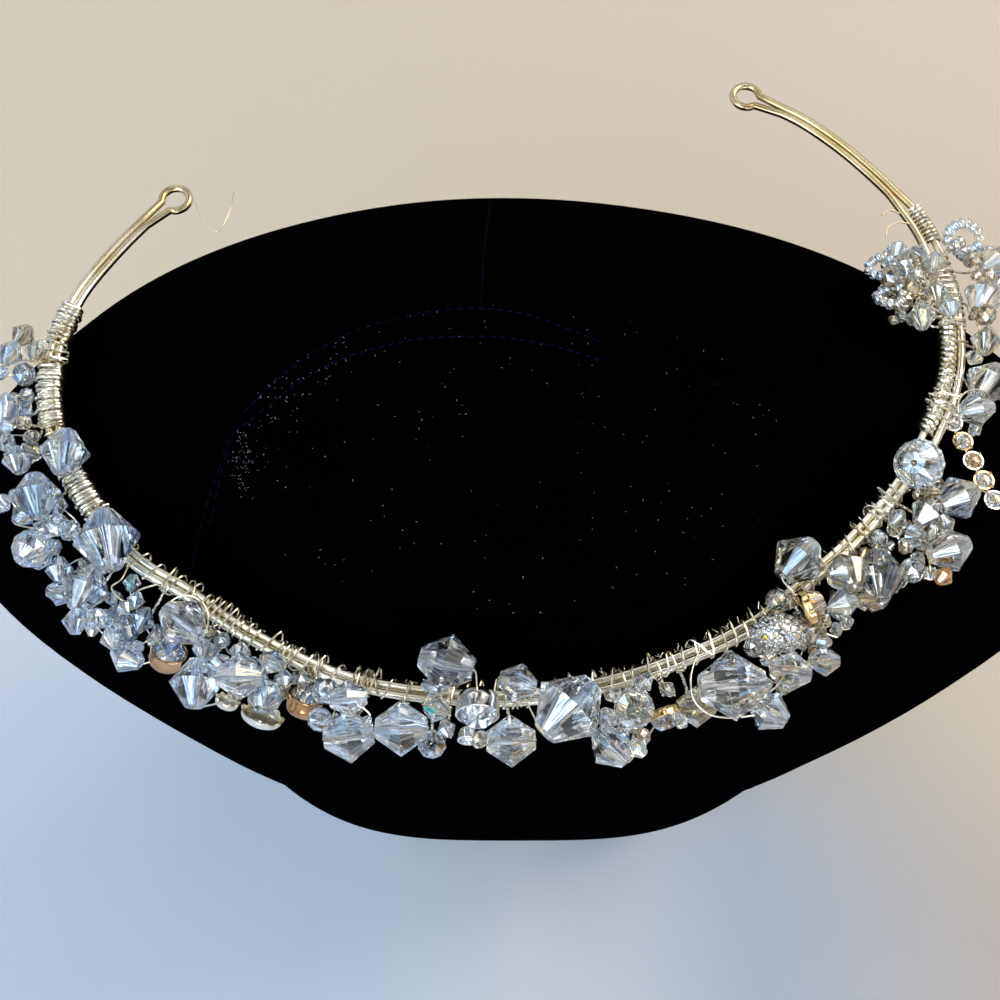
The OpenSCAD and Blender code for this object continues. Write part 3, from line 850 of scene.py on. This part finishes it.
def coils():
    draws = random.Random(3)
    for node, first, last, pitch, wire_r, rod in COILS:
        shape = Shape()
        path, s, k = [], first, 0
        while s < last:
            swell = 0.0 if rod else SWELL * (1 + sin(2 * pi * s / SWELL_PITCH))
            path.append(turn_point(s, 2 * pi * k / TURN_POINTS, wire_r + swell, 0.0, rod))
            s += pitch * draws.uniform(0.9, 1.1) / TURN_POINTS
            k += 1
        shape.wire(path, wire_r, 8)
        shape.piece("wound_" + node[5:], [FINE], "fine_wire", [node])


# Loose turns of the fine wire, columns: first station, pitch of each turn, largest where the rods lie bare
LOOSE = [
    (32.4, [1.4, 1.1, 1.4]),
    (46.4, [1.2, 1.0, 1.5, 1.1, 0.9, 1.2, 1.3]),
    (61.8, [1.0, 1.3, 1.2, 1.0, 1.4, 1.2, 2.6, 2.8]),
    (74.4, [2.7, 0.9, 2.4, 2.8, 1.3, 1.0, 0.9, 1.1, 1.3, 0.8, 1.2, 1.4, 1.3]),
    (94.0, [2.9, 1.1, 2.4, 1.0, 2.6, 2.9, 1.4, 1.2, 2.1, 2.6, 3.0, 2.2]),
    (119.0, [1.3, 1.9, 1.4, 2.3, 1.7, 1.2, 2.0, 1.6, 2.2, 1.3, 1.9]),
    (139.0, [2.6, 3.1, 2.2, 2.8, 2.4, 1.9, 2.4, 2.0, 1.6, 1.8, 1.5, 1.9, 1.6]),
    (167.4, [1.6, 1.2, 1.8, 1.4, 1.1, 1.9, 2.2, 2.6, 2.9, 0.8, 2.4, 0.9, 1.9, 0.8, 1.2, 2.2]),
    (196.0, [1.2, 0.9, 1.3, 1.1, 0.9]),
    (206.4, [1.6, 1.1, 1.4, 1.2]),
    (222.6, [0.9, 1.2, 1.1, 0.8, 1.3, 1.0, 1.2, 0.9, 1.1, 1.3, 1.0, 1.2]),
]
# Single turns that lean the other way over them, columns: station, pitch
CROSSED = [(77.5, 5.2), (98.5, 4.6), (107.0, 4.2), (151.5, 4.8), (185.5, 4.0), (208.0, 3.0)]


def stray_end(shape, s, draws):
    """A short cut end of wire that stands up from the inner side of the band."""
    foot = place(s, -spread(s) - CORE_R - 0.05, draws.uniform(-0.2, 0.3))
    lean = -outward(s) * draws.uniform(0.2, 0.8) + UP * draws.uniform(0.1, 0.7)
    lean = lean + along(s) * draws.uniform(-0.7, 0.7)
    tip = foot + unit(lean) * draws.uniform(0.4, 1.2)
    middle = (foot + tip) / 2 + np.array([draws.uniform(-0.1, 0.1) for _ in range(3)])
    shape.wire(smooth([foot, middle, tip], 3), 0.055, 5)


# Between these stations the band is fuzzy with cut wire ends
FUZZY = (138, 166)


def loose_wraps():
    """The fine wire that crosses the band at odd distances, with its short ends standing up."""
    draws = random.Random(21)
    shape = Shape()
    for first, pitches in LOOSE:
        slacks = [draws.choice((0.1, 0.4, 0.8, 1.1)) * draws.uniform(0.6, 1.0) for _ in pitches]
        shape.wire(winding(pitches, first, 0.19, slacks, start=0.4), 0.17, 8)
        for s in np.cumsum(pitches) + first:
            ends = (1, 2, 3) if FUZZY[0] < s < FUZZY[1] else (0, 0, 0, 1)
            for _ in range(draws.choice(ends)):
                stray_end(shape, s + draws.uniform(-0.3, 0.3), draws)
    for first, pitch in CROSSED:
        shape.wire(winding([pitch], first, 0.36, [0.4], -1, 0.4), 0.15, 8)
    shape.piece("loose_wraps", [FINE], "fine_wire")


def twisted(path, strand_r, pitch):
    """Two strands twisted together along a path."""
    path = np.asarray(path, float)
    ahead = headings(path)
    sides = carried(ahead, unit(np.cross(ahead[0], np.array([0.3, 0.5, 0.81]))))
    a = 2 * pi * lengths(path)[:, None] / pitch
    swing = (np.cos(a) * sides + np.sin(a) * np.cross(ahead, sides)) * strand_r * 1.05
    return path + swing, path - swing


# Beads and cups are known by centre, axis, radius and length. What has been placed so far: centre and radius
PLACED = []
# A bead further from the band than this hangs on its neighbour
STEM_REACH = 6.2
BEAD_WIRE = 0.12


def bead_to_bead(shape, bead, draws):
    """A wire from the end of a bead's hole to the nearest bead or cup."""
    centre, axis, _, length = bead
    others = [spot for spot, _ in PLACED if norm(spot - centre) > 0.5]
    near = min(others, key=lambda spot: norm(spot - centre))
    way = 1 if np.dot(near - centre, axis) > 0 else -1
    end = centre + axis * way * (length / 2 + 0.05)
    bend = end + axis * way * 0.5 + UP * draws.uniform(-0.3, 0.5)
    landing = near * 0.7 + end * 0.3 + UP * draws.uniform(-0.2, 0.6)
    shape.wire(bezier(end, bend, landing, near, 10), BEAD_WIRE, 6)


def crystal_wire(shape, bead, draws):
    """The wire through a bead, its two legs below it and the twisted stem that ties it to the band."""
    centre, axis, radius, length = bead
    s = nearest_station(centre)
    side = 1 if np.dot(centre - on_band(s), outward(s)) > -0.5 else -1
    foot = place(s, side * (spread(s) + CORE_R + 0.1), -0.2)
    half = length / 2
    ends = [centre + axis * way * (half + 0.05) for way in (-1, 1)]
    shape.wire(ends, BEAD_WIRE, 8)
    if norm(foot - centre) > STEM_REACH:
        bead_to_bead(shape, bead, draws)
        return
    toward = foot - centre
    toward[2] = 0
    flat = min(norm(toward), 0.55 * radius)
    base = centre + unit(toward) * flat - UP * (0.8 * radius + 0.2)
    for way, end in zip((-1, 1), ends):
        leg = bezier(end, end + axis * way * 0.5 - UP * 0.3, base + axis * way * 0.6 * half, base, 10)
        shape.wire(leg, BEAD_WIRE, 7)
    middle = base * 0.5 + foot * 0.5 + np.array([draws.uniform(-0.3, 0.3), draws.uniform(-0.3, 0.3), -0.3])
    for strand in twisted(smooth([base, middle, foot], 12), BEAD_WIRE, 1.1):
        shape.wire(strand, BEAD_WIRE, 6)
    pitches = [draws.uniform(0.4, 0.7) for _ in range(draws.choice((1, 1, 2)))]
    shape.wire(winding(pitches, s - 0.4, 0.3, [0.1] * 2, draws.choice((-1, 1))), BEAD_WIRE, 6)


# Wires that go round the outside of a crystal, columns: node, side of the bead that the wire passes
OUTER_WIRES = [("crystal_02", 1), ("crystal_09", -1), ("crystal_32", -1), ("crystal_35", 1)]


def outer_wires(shape):
    """Single wires laid in an arc round the outside of some crystals."""
    for name, way in OUTER_WIRES:
        centre, axis, radius, length = bead_frame(islands(name)[0])
        axis = axis if np.dot(axis, along(nearest_station(centre))) > 0 else -axis
        across = unit(np.cross(axis, UP)) * way
        half = length / 2
        arc = []
        for a in np.linspace(-0.5 * pi, 0.5 * pi, 17):
            reach = axis * (half + 0.1) * sin(a)
            reach = reach + across * (radius + 0.02) * max(0.0, cos(a)) ** 0.9
            arc.append(centre + reach + UP * 0.35 * radius * cos(a))
        shape.wire(smooth(arc, 2), 0.12, 7)


# Beads, cups and stones

# Facets painted with a flash of coloured light, columns: station, outward, up, row of VIVID
FLASHES = [
    (100.8, 5.5, 3, 1), (109.4, 4.9, 3, 0), (121.3, 0.4, 3.4, 2), (178.2, 9.4, 3.4, 2),
    (199, 4.2, 3, 2), (228.8, -3.6, 5, 4), (96.7, 9.2, 0, 2), (58.5, 6, 3, 1), (88, 5, 6, 3),
]
# From this station on the tiny crystals are brighter, since they mirror more
RIGHT_END, RIGHT_CLEAR = 222, -0.6
# The round crystal that mirrors cool light although it stands at the right
COOL_CRYSTAL, COOL = "crystal_30", 0.1
# From which radius on a crystal is large, and how much less its facets mirror, and those of smoky ones
LARGE, LARGE_CLEAR, SMOKE_CLEAR = 3.2, 0.3, 0.55


def cut_bead(shape, form, bead, draws, group, clear=0.0, warm=None):
    """One cut bead: the larger, the more facets it has, and the clearer, the less its facets mirror."""
    centre, axis, radius, length = bead
    sides = 12 if radius > 2.4 else 10 if radius > 1.5 else 8
    hole = min(0.45, 0.3 * radius)
    points, faces = form(length / radius, hole / radius, sides)
    tints = facet_tints(faces, draws, warmth(centre) if warm is None else warm)
    tints = [(r, g, b, min(0.95, mirror * (1 - clear))) for r, g, b, mirror in tints]
    placed = set_at(points, centre, axis, radius, draws.uniform(0, pi))
    # Painted flashes of coloured light on the facets nearest the spots of FLASHES
    for station, out, up, colour in FLASHES:
        spot = place(station, out, up)
        if norm(spot - centre) < radius + 0.8:
            gaps = [norm(placed[list(face)].mean(0) - spot) for face in faces]
            tints[int(np.argmin(gaps))] = VIVID[colour]
    shape.add(placed, faces, group, tints, streaks(points, faces, draws))
    PLACED.append((centre, radius))


# A bead that isn't round and is shorter than this share of its width is a rondelle
FLAT_BEAD = 0.8


def put_bead(shape, points, draws, group, wires, clear=0.0, warm=None):
    """The cut bead that stands for a CAD bead, and its wires."""
    bead = bead_frame(points)
    form = rondelle_bead if bead[3] < FLAT_BEAD * 2 * bead[2] else bicone
    if len(points) >= ROUND_POINTS:
        form = round_bead
    cut_bead(shape, form, bead, draws, group, clear, warm)
    crystal_wire(wires, bead, draws)


def crystals(wires):
    slots = {row["node"]: row["material_slot"] for row in frame["record"]["subparts"]}
    looks = {"crystal_clear": CLEAR, "crystal_smoke": SMOKE, "crystal_champagne": CHAMPAGNE}
    outer_wires(wires)
    for name in sorted(n for n in frame["nodes"] if n.startswith("crystal_")):
        draws = random.Random(int(name[-2:]))
        shape = Shape()
        points, look = islands(name)[0], looks[slots[name]]
        clear = SMOKE_CLEAR if look is SMOKE else LARGE_CLEAR if bead_frame(points)[2] > LARGE else 0.0
        put_bead(shape, points, draws, 0, wires, clear, COOL if name == COOL_CRYSTAL else None)
        shape.piece("cut_" + name, [look], slots[name], [name], rounded=())


# Stations of the small beads of warm glass: champagne, then amber
CHAMPAGNE_AT = (31.7, 35.6, 45.7, 46.1, 82.1, 101.7, 148.2, 169.4)
AMBER_AT = 186.1


def small_beads(wires):
    for node in ("small_beads_left", "small_beads_right"):
        draws = random.Random(len(node))
        shape = Shape()
        for points in islands(node):
            s = nearest_station(points.mean(0))
            champagne = min(abs(s - at) for at in CHAMPAGNE_AT) < 0.4
            put_bead(shape, points, draws, 1 if champagne else 2 if abs(s - AMBER_AT) < 0.5 else 0, wires)
        shape.piece("cut_" + node, [CLEAR, CHAMPAGNE, AMBER], "small_crystal", [node], rounded=())


# Where tiny crystals fill the room between the stones, columns: first and last station, least and most
# outward, least and most up, how many are tried
FILLERS = [
    (26, 37, 3.2, 8.5, -2.5, 1.5, 48),
    (37, 50, 3.2, 8, -3, 3, 68),
    (50, 66, 2.6, 10.5, -4, 3, 120),
    (66, 84, 3.5, 12, -4, 3, 140),
    (84, 106, 2.6, 8.4, -3, 3.5, 160),
    (106, 128, 2.6, 8, -3.5, 4, 140),
    (128, 150, 2.8, 9, -4, 4, 160),
    (150, 174, 2.8, 10, -4, 3, 180),
    (174, 194, 2.8, 9, -3.5, 3, 140),
    (194, 222, 2.8, 9.5, -2, 2, 100),
    (222, 237, -9, -2.6, -1, 4.5, 220),
    (222, 238, 2.8, 9, -2, 3.5, 120),
]
# Tiny crystals that close the gaps between the stones, columns: station, outward, up, radius
GAP_BEADS = [
    (41.2, 3.4, 0, 1.6), (48.8, 3.8, 0, 1.4), (45.9, 7.4, -1, 1.8), (58, 3.8, 0, 1.5), (62.2, 4.3, 0, 1.6),
    (55.8, 8.7, -2, 1.8), (67.9, 10.6, -2, 1.6), (73.8, 2.9, 1, 1.3), (75, 8.4, 0.5, 1.9), (73, 9.2, -1, 1.5),
    (76.8, 9, 0, 1.5), (76, 10.2, -1, 1.6), (88, 5.1, 1, 1.7), (88.7, 2.6, 0, 1.2), (90.4, 5.8, 0, 1.8),
    (92.3, 3.2, 2, 1.5), (94.6, 6, 1, 1.9), (100.6, 2.4, 1, 1.2), (107.1, 3.1, 1, 1.4), (145.9, 1.8, 2, 1.4),
    (141.5, 2.4, 2.6, 1.3), (173.4, 6.6, 2, 1.6), (177.2, 3.2, 3.4, 3.0), (177.2, 7, 1, 1.7),
    (181.6, 2.4, 1, 1.3), (184.7, 2.4, 1, 1.5), (182.6, 4.6, 1, 1.8), (188.5, 5.9, 1, 1.7),
    (190.3, 7.2, 1, 1.6), (192.4, 8.1, 1, 1.5), (194.6, 3, 0, 1.3), (217.2, 2.6, 1, 1.3),
    (234.4, 2, 3.5, 1.1), (232.7, 2.6, 3.5, 1.2), (231.7, 4.3, 3.5, 1.3), (235.2, 3.4, 2.6, 1.0),
]
# How close a tiny bead may come to another, as a share of both radii, and how far off the second next may be
TIGHT, SECOND_GAP = 0.82, 1.1
# The way from the stones to the eye when the tiara is seen from above its front
ABOVE_FRONT = np.array([0.0, -0.407, 0.914])


def free_spot(spot, radius):
    """Whether a tiny bead fits there: clear of the others, near two of them, and not in front of a stone."""
    gaps = []
    for other, other_r in PLACED:
        away = spot - other
        gaps.append(norm(away) - TIGHT * (other_r + radius))
        if gaps[-1] < 0:
            return False
        lift = np.dot(away, ABOVE_FRONT)
        if lift > 0 and norm(away - lift * ABOVE_FRONT) < 0.9 * other_r:
            return False
    s = nearest_station(spot)
    across = np.dot(spot - on_band(s), outward(s))
    clear = hypot(max(0.0, abs(across) - spread(s)), spot[2] - BAND_Z) > CORE_R + 0.5 + radius
    return clear and sorted(gaps)[1] < SECOND_GAP


# Forms of the tiny crystals, each with its length as a share of its width, and their radii
TINY_FORMS = ((bicone, 0.92), (bicone, 0.92), (round_bead, 0.9), (rondelle_bead, 0.65))
TINY_RADII = (0.8, 1.0, 1.2, 1.4, 1.8)


def tiny_crystal(shape, wires, spot, radius, draws):
    form, share = draws.choice(TINY_FORMS)
    s = nearest_station(spot)
    axis = along(s) * draws.uniform(-1, 1) + outward(s) * draws.uniform(-1, 1)
    axis = unit(axis + UP * draws.uniform(-0.5, 0.5))
    bead = spot, axis, radius, 2 * radius * share
    bead_to_bead(wires, bead, draws)
    warm = draws.random() < (0.4 if s > RIGHT_END else 0.1 + 0.4 * warmth(spot))
    clear = RIGHT_CLEAR if s > RIGHT_END else 0.0
    cut_bead(shape, form, bead, draws, 1 if warm else 0, clear)


def fillers(wires):
    """Tiny crystals among the stones, each wired to its neighbour."""
    draws = random.Random(41)
    shape = Shape()
    for s, out, up, radius in GAP_BEADS:
        tiny_crystal(shape, wires, place(s, out, up), radius, draws)
    for first, last, out_low, out_high, up_low, up_high, tries in FILLERS:
        for _ in range(tries):
            radius = draws.choice(TINY_RADII) * draws.uniform(0.9, 1.1)
            spot = place(draws.uniform(first, last), draws.uniform(out_low, out_high),
                         draws.uniform(up_low, up_high))
            if free_spot(spot, radius):
                tiny_crystal(shape, wires, spot, radius, draws)
    shape.piece("tiny_crystals", [CLEAR, CHAMPAGNE], "small_crystal", rounded=())


CUP_WALL = 0.3


def cup_ends(points):
    """The middle of a cup's floor, its axis towards the opening, its radius and its height."""
    centre, axis, radius, height = lathe_frame(points)
    heights = (points - centre) @ axis
    if heights.max() + heights.min() > 0:
        axis, heights = -axis, -heights
    PLACED.append((centre, radius))
    return centre + axis * heights.min(), axis, radius, height


def cup_form(radius, height):
    """A cup with a rounded foot and a thin rolled rim."""
    inner = radius - CUP_WALL
    return revolve([
        (0.02, 0), (0.62 * radius, 0), (0.8 * radius, 0.08 * height), (0.93 * radius, 0.24 * height),
        (0.985 * radius, 0.5 * height), (0.985 * radius, height - 0.26), (radius, height - 0.18),
        (radius, height - 0.06), (radius - 0.08, height), (inner + 0.05, height), (inner, height - 0.1),
        (inner, 0.45 * height), (0.02, 0.4 * height),
    ], 48)


def put_stone(shape, floor, axis, radius, girdle, crown, draws, spin, look=0):
    """A cut stone over a floor, its back in the second material of the piece."""
    points, faces, pavilion = brilliant(radius, crown, min(0.6 * radius, girdle))
    at = floor + axis * girdle
    tints = facet_tints(faces, draws, warmth(at))
    placed = set_at(points, at, axis, spin=spin)
    shape.add(placed, faces, look, tints, streaks(points / radius, faces, draws))
    shape.add(placed, pavilion, 1)


# The round cups along the band, columns: plate (0 silver, 1 gold, 2 rose), stone (0 clear, 2 champagne)
CUPS = [(0, 0), (2, 0), (2, 0), (0, 0), (0, 0), (1, 0), (1, 2)]


def bezels():
    """Round cups, each with its cut stone."""
    draws = random.Random(17)
    cups, stones = Shape(), Shape()
    for points, stone, (plate, look) in zip(islands("bezel_cups"), islands("bezel_stones"), CUPS):
        floor, axis, radius, height = cup_ends(points)
        form, faces = cup_form(radius, height)
        cups.add(set_at(form, floor, axis), faces, plate)
        girdle = 0.9 * height
        crown = ((stone - floor) @ axis).max() - girdle
        put_stone(stones, floor, axis, radius - 0.34, girdle, crown, draws, 0.2, look)
    cups.piece("bezel_cup_set", [SILVER, GOLD, ROSE], "cup_metal", ["bezel_cups"], rounded=(0, 1, 2))
    stones.piece("bezel_stone_set", [CLEAR, FOIL, CHAMPAGNE], "rhinestone", ["bezel_stones"], rounded=())


# Scallops of a bead cap
LOBES = 9


def cap_form(radius, height):
    """A thin bead cap whose edge waves in scallops."""
    outer = [(0.1, 0.0), (0.45, 0.02), (0.72, 0.14), (0.88, 0.36), (0.97, 0.66), (1.0, 0.96)]
    inner = [(0.94, 1.0), (0.9, 0.68), (0.8, 0.42), (0.6, 0.24), (0.1, 0.16)]
    points, faces = revolve([(r * radius, z * height) for r, z in outer + inner], 54, closed=True)
    wave = np.cos(LOBES * np.arctan2(points[:, 1], points[:, 0]))
    rise = (points[:, 2] / height) ** 2
    points[:, :2] *= (1 + 0.045 * rise * wave)[:, None]
    points[:, 2] += 0.11 * height * rise * wave
    return points, faces


def caps():
    """Silver bead caps under two of the beads."""
    shape = Shape()
    for points in islands("crown_cups"):
        floor, axis, radius, height = cup_ends(points)
        form, faces = cap_form(radius, 0.8 * height)
        shape.add(set_at(form, floor, axis), faces)
    shape.piece("bead_cap_set", [FINE], "silver_cup", ["crown_cups"])


PAVE_STONES = 76


def pave():
    """An oval ball set all over with tiny stones."""
    points = islands("pave_ball")[0]
    centre, axis, radius, length = lathe_frame(points)
    PLACED.append((centre, radius))
    draws = random.Random(29)
    turn = turn_to(axis)
    half = length / 2
    shape = Shape()
    body = [(max(0.02, (radius - 0.3) * cos(a)), (half - 0.3) * sin(a))
            for a in np.radians(np.linspace(-90, 90, 25))]
    form, faces = revolve(body, 32)
    shape.add(set_at(form, centre, axis), faces, 2)
    for k in range(PAVE_STONES):
        z = 1 - 2 * (k + 0.5) / PAVE_STONES
        a = pi * (1 + 5**0.5) * k
        flat = sqrt(1 - z * z)
        spot = np.array([radius * flat * cos(a), radius * flat * sin(a), half * z])
        normal = unit(spot / np.array([radius**2, radius**2, half**2]))
        floor = set_at(spot - normal * 0.42, centre, axis)
        put_stone(shape, floor, turn @ normal, draws.uniform(0.46, 0.6), 0.2, 0.3, draws, draws.random())
    shape.piece("pave_ball_set", [CLEAR, FOIL, SILVER], "pave", ["pave_ball"], rounded=(2,))


# Strips of cup chain, columns: node, radius of a cup, whether every other cup is gold, which stone is amber
STRIPS = [("strip_lower", 1.05, False, None), ("strip_upper", 1.5, True, 2)]
# How high the prongs' tips and the bars between the cups lie over the cups' floor
PRONG_TOP, BAR_UP = 1.35, 0.35


def chain_cup(shape, floor, cup_r, metal):
    """A little cup with four prongs."""
    form, faces = revolve([(0.02, 0), (0.62 * cup_r, 0), (0.86 * cup_r, 0.35), (cup_r, 0.75), (cup_r, 1.0),
                           (0.84 * cup_r, 1.0), (0.8 * cup_r, 0.7), (0.3, 0.4), (0.02, 0.4)], 28)
    shape.add(form + floor, faces, metal)
    for p in range(4):
        a = pi / 2 * p + pi / 4
        out = np.array([cos(a), sin(a), 0.0]) * cup_r
        prong = [out * 0.9 + UP * 0.5, out * 1.02 + UP * 1.1, out * 0.62 + UP * PRONG_TOP]
        path, faces = tube(smooth(prong, 4), [0.2] * 7 + [0.16, 0.12], 6)
        shape.add(path + floor, faces, metal)


def strips():
    """Cup chain: little cups with their stones, joined by bars."""
    draws = random.Random(31)
    for name, cup_r, part_gold, amber in STRIPS:
        floor_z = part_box(name)[0].z / MM
        shape = Shape()
        before = None
        for k, stone in enumerate(islands(name + "_stones")):
            spot = stone.mean(0)
            PLACED.append((spot, cup_r))
            floor = np.array([spot[0], spot[1], floor_z])
            chain_cup(shape, floor, cup_r, 4 if part_gold and k % 2 else 2)
            look = 3 if k == amber else 0
            put_stone(shape, floor, UP, 0.86 * cup_r, 0.92, 0.45, draws, draws.random(), look)
            if k:
                shape.wire([before + UP * BAR_UP, floor + UP * BAR_UP], 0.3, 8, 2)
            before = floor
        looks = [CLEAR, FOIL, SILVER, AMBER, GOLD]
        shape.piece("set_" + name, looks, "silver_cup", [name, name + "_stones"], rounded=(2, 4))


# Loops of seed beads, columns: centre x, y, z, radius, lean to +X, lean to +Y, beads
SEED_LOOPS = [
    (64.3, 21.6, 159.5, 2.3, 0.1, -0.3, 15),
    (51.4, 16.6, 159.4, 1.6, -0.2, -0.2, 11),
    (52.6, 12.0, 158.6, 1.7, -0.3, 0.2, 11),
]
# A seed bead, columns: distance from its axis, height
SEED_BEAD = [(0.26, -0.34), (0.5, -0.36), (0.68, -0.2), (0.72, 0.0), (0.68, 0.2), (0.5, 0.36), (0.26, 0.34)]
# Their tints, with how much of a bead is a mirror
SEED_TINTS = ((0.86, 0.93, 1.0, 0.75), (1.0, 1.0, 1.0, 0.6), (1.0, 0.95, 0.86, 0.4))


def seed_loops():
    """Uneven loops of beads on a wire, each on a twisted stem."""
    draws = random.Random(37)
    shape = Shape()
    bead, faces = revolve(SEED_BEAD, 12, closed=True)
    for x, y, z, radius, lean_x, lean_y, count in SEED_LOOPS:
        centre = np.array([x, y, z])
        turn = turn_to(unit(np.array([lean_x, lean_y, 1.0])))

        def on_loop(a):
            reach = radius * (1 + 0.09 * sin(2 * a + x) + 0.05 * sin(3 * a + y))
            return centre + turn @ np.array([reach * cos(a), reach * sin(a), 0.3 * sin(2 * a)])

        rim = [on_loop(a) for a in np.linspace(0, 2 * pi, 37)[:-1]]
        shape.wire(rim, 0.11, 6, 1, closed=True)
        s = nearest_station(centre)
        foot = place(s, 1.2 if np.dot(centre - on_band(s), outward(s)) > 0 else -1.2, 0.3)
        near = min(rim, key=lambda p: norm(p - foot))
        for strand in twisted(bezier(near, near * 0.6 + foot * 0.4 + UP, foot + UP, foot, 30), 0.13, 1.2):
            shape.wire(strand, 0.13, 6, 1)
        for k in range(count):
            a = 2 * pi * (k + draws.uniform(-0.08, 0.08)) / count
            way = unit(on_loop(a + 0.05) - on_loop(a - 0.05))
            size = radius * sin(pi / count) / 0.37 * draws.uniform(0.85, 1.0)
            shape.add(set_at(bead, on_loop(a), way, size), faces, 0, [draws.choice(SEED_TINTS)] * len(faces))
    shape.piece("seed_bead_loops", [SEED, FINE], "small_crystal", rounded=(0, 1))


# Single wires, columns: radius, then the points as station, outward, up
SINGLE_WIRES = [
    (0.12, [(241.5, -1.6, 0.8), (242.4, -3.4, 1.2), (242.0, -5.4, 1.4), (240.6, -6.2, 1.2)]),
    (0.12, [(244.0, -1.8, 0.6), (245.2, -3.0, 1.0), (245.0, -4.6, 1.0)]),
    (0.14, [(71.8, 1.2, 0.9), (72.7, 3.4, 1.6), (72.5, 5.2, 1.4), (74.8, 5.6, 1.5), (75.3, 3.4, 1.6),
            (76.7, 1.2, 0.9)]),
    (0.14, [(82.2, 1.2, 0.8), (83.8, 3.6, 1.8), (85.8, 4.0, 1.6), (87.2, 1.4, 0.8)]),
    (0.13, [(154.0, 0.8, 4.2), (152.2, 2.6, 5.0), (150.9, 4.6, 5.2), (150.4, 7.0, 4.8), (151.4, 9.2, 4.4),
            (153.6, 10.7, 4.2), (156.4, 11.6, 3.8)]),
]
# The hair-thin wire by the left tip, as x, y, z
HAIR_WIRE = [(-52.5, 30.5, 156.3), (-50.6, 26.0, 157.4), (-48.2, 23.8, 158.0), (-46.6, 27.2, 158.2),
             (-46.3, 31.6, 157.6)]


def single_wires():
    shape = Shape()
    for radius, spots in SINGLE_WIRES:
        shape.wire(smooth([place(*p) for p in spots], 8), radius, 10)
    shape.wire(smooth(HAIR_WIRE, 8), 0.05, 6)
    shape.piece("single_wires", [BAND], "fine_wire")


velvet_bust = bust()
disc_top = disc()
stitches([velvet_bust, disc_top])
lint(disc_top)
core_rods()
coils()
loose_wraps()
bezels()
caps()
pave()
strips()
bead_wires = Shape()
crystals(bead_wires)
small_beads(bead_wires)
fillers(bead_wires)
bead_wires.piece("crystal_wires", [FINE], "fine_wire", ["stem_wires"])
seed_loops()
single_wires()


# Floor, light and camera, in metres

FLOOR_HALF = 3.0
# Area lights, columns: name, place, what it is aimed at, size, power, colour
LIGHTS = [
    ("window", (-0.55, -0.55, 0.75), (0, 0, 0.12), (0.8, 0.6), 5.5, (0.66, 0.83, 1.0)),
    ("lamp", (0.6, 0.35, 0.8), (0, 0, 0.12), (0.65, 0.65), 5.0, (1.0, 0.88, 0.70)),
    ("strip_light", (0.1, -0.9, 0.35), (0, 0, 0.14), (0.9, 0.14), 2.0, (0.9, 0.95, 1.0)),
]
# The camera looks down from the front, so far from straight down
CAMERA_AT, CAMERA_TILT = (-0.0053, -0.1061, 0.3495), radians(24.0)
LENS, SENSOR = 54.0, 36.0


def floor():
    mesh = bpy.data.meshes.new("floor")
    corners = [(x * FLOOR_HALF, y * FLOOR_HALF, 0) for x, y in ((-1, -1), (1, -1), (1, 1), (-1, 1))]
    mesh.from_pydata(corners, [], [(0, 1, 2, 3)])
    mesh.materials.append(floor_material())
    obj = in_scene("floor", mesh)


def area_light(name, where, aim, size, power, colour):
    data = bpy.data.lights.new(name, "AREA")
    data.shape = "RECTANGLE"
    data.size, data.size_y = size
    data.energy = power
    data.color = colour
    obj = in_scene(name, data)
    obj.location = where
    obj.rotation_euler = (Vector(aim) - Vector(where)).to_track_quat("-Z", "Y").to_euler()


def world():
    """A plain pale room with soft patches of light overhead, for the crystals to mirror."""
    w = bpy.data.worlds.new("room")
    w.use_nodes = True
    nt = w.node_tree
    way = add(nt, "ShaderNodeTexCoord").outputs["Generated"]
    patches = add(nt, "ShaderNodeTexNoise", Vector=way, Scale=4.2, Detail=1.5).outputs["Fac"]
    tone = ramp(nt, patches, [(0.40, (0.012, 0.014, 0.018)), (0.47, (0.10, 0.108, 0.12)),
                              (0.53, (0.32, 0.34, 0.36)), (0.60, (0.94, 0.96, 1.0))])
    rise = add(nt, "ShaderNodeSeparateXYZ", Vector=way).outputs["Z"]
    overhead = mapped(nt, rise, 0.33, 0.45, kind="SMOOTHSTEP")
    room = mixed(nt, "MIX", (0.27, 0.28, 0.30, 1.0), tone, overhead)
    feed(nt, nt.nodes["Background"], Color=room, Strength=2.2)
    bpy.context.scene.world = w


def camera():
    data = bpy.data.cameras.new("camera")
    data.lens = LENS
    data.sensor_width = SENSOR
    data.clip_start = 0.01
    obj = in_scene("camera", data)
    obj.location = CAMERA_AT
    obj.rotation_euler = (CAMERA_TILT, 0, 0)
    bpy.context.scene.camera = obj


floor()
world()
for row in LIGHTS:
    area_light(*row)
camera()

bpy.context.scene.view_settings.view_transform = "Standard"
# Light passes many facets of glass
cycles = bpy.context.scene.cycles
cycles.max_bounces, cycles.transmission_bounces, cycles.glossy_bounces = 16, 14, 8
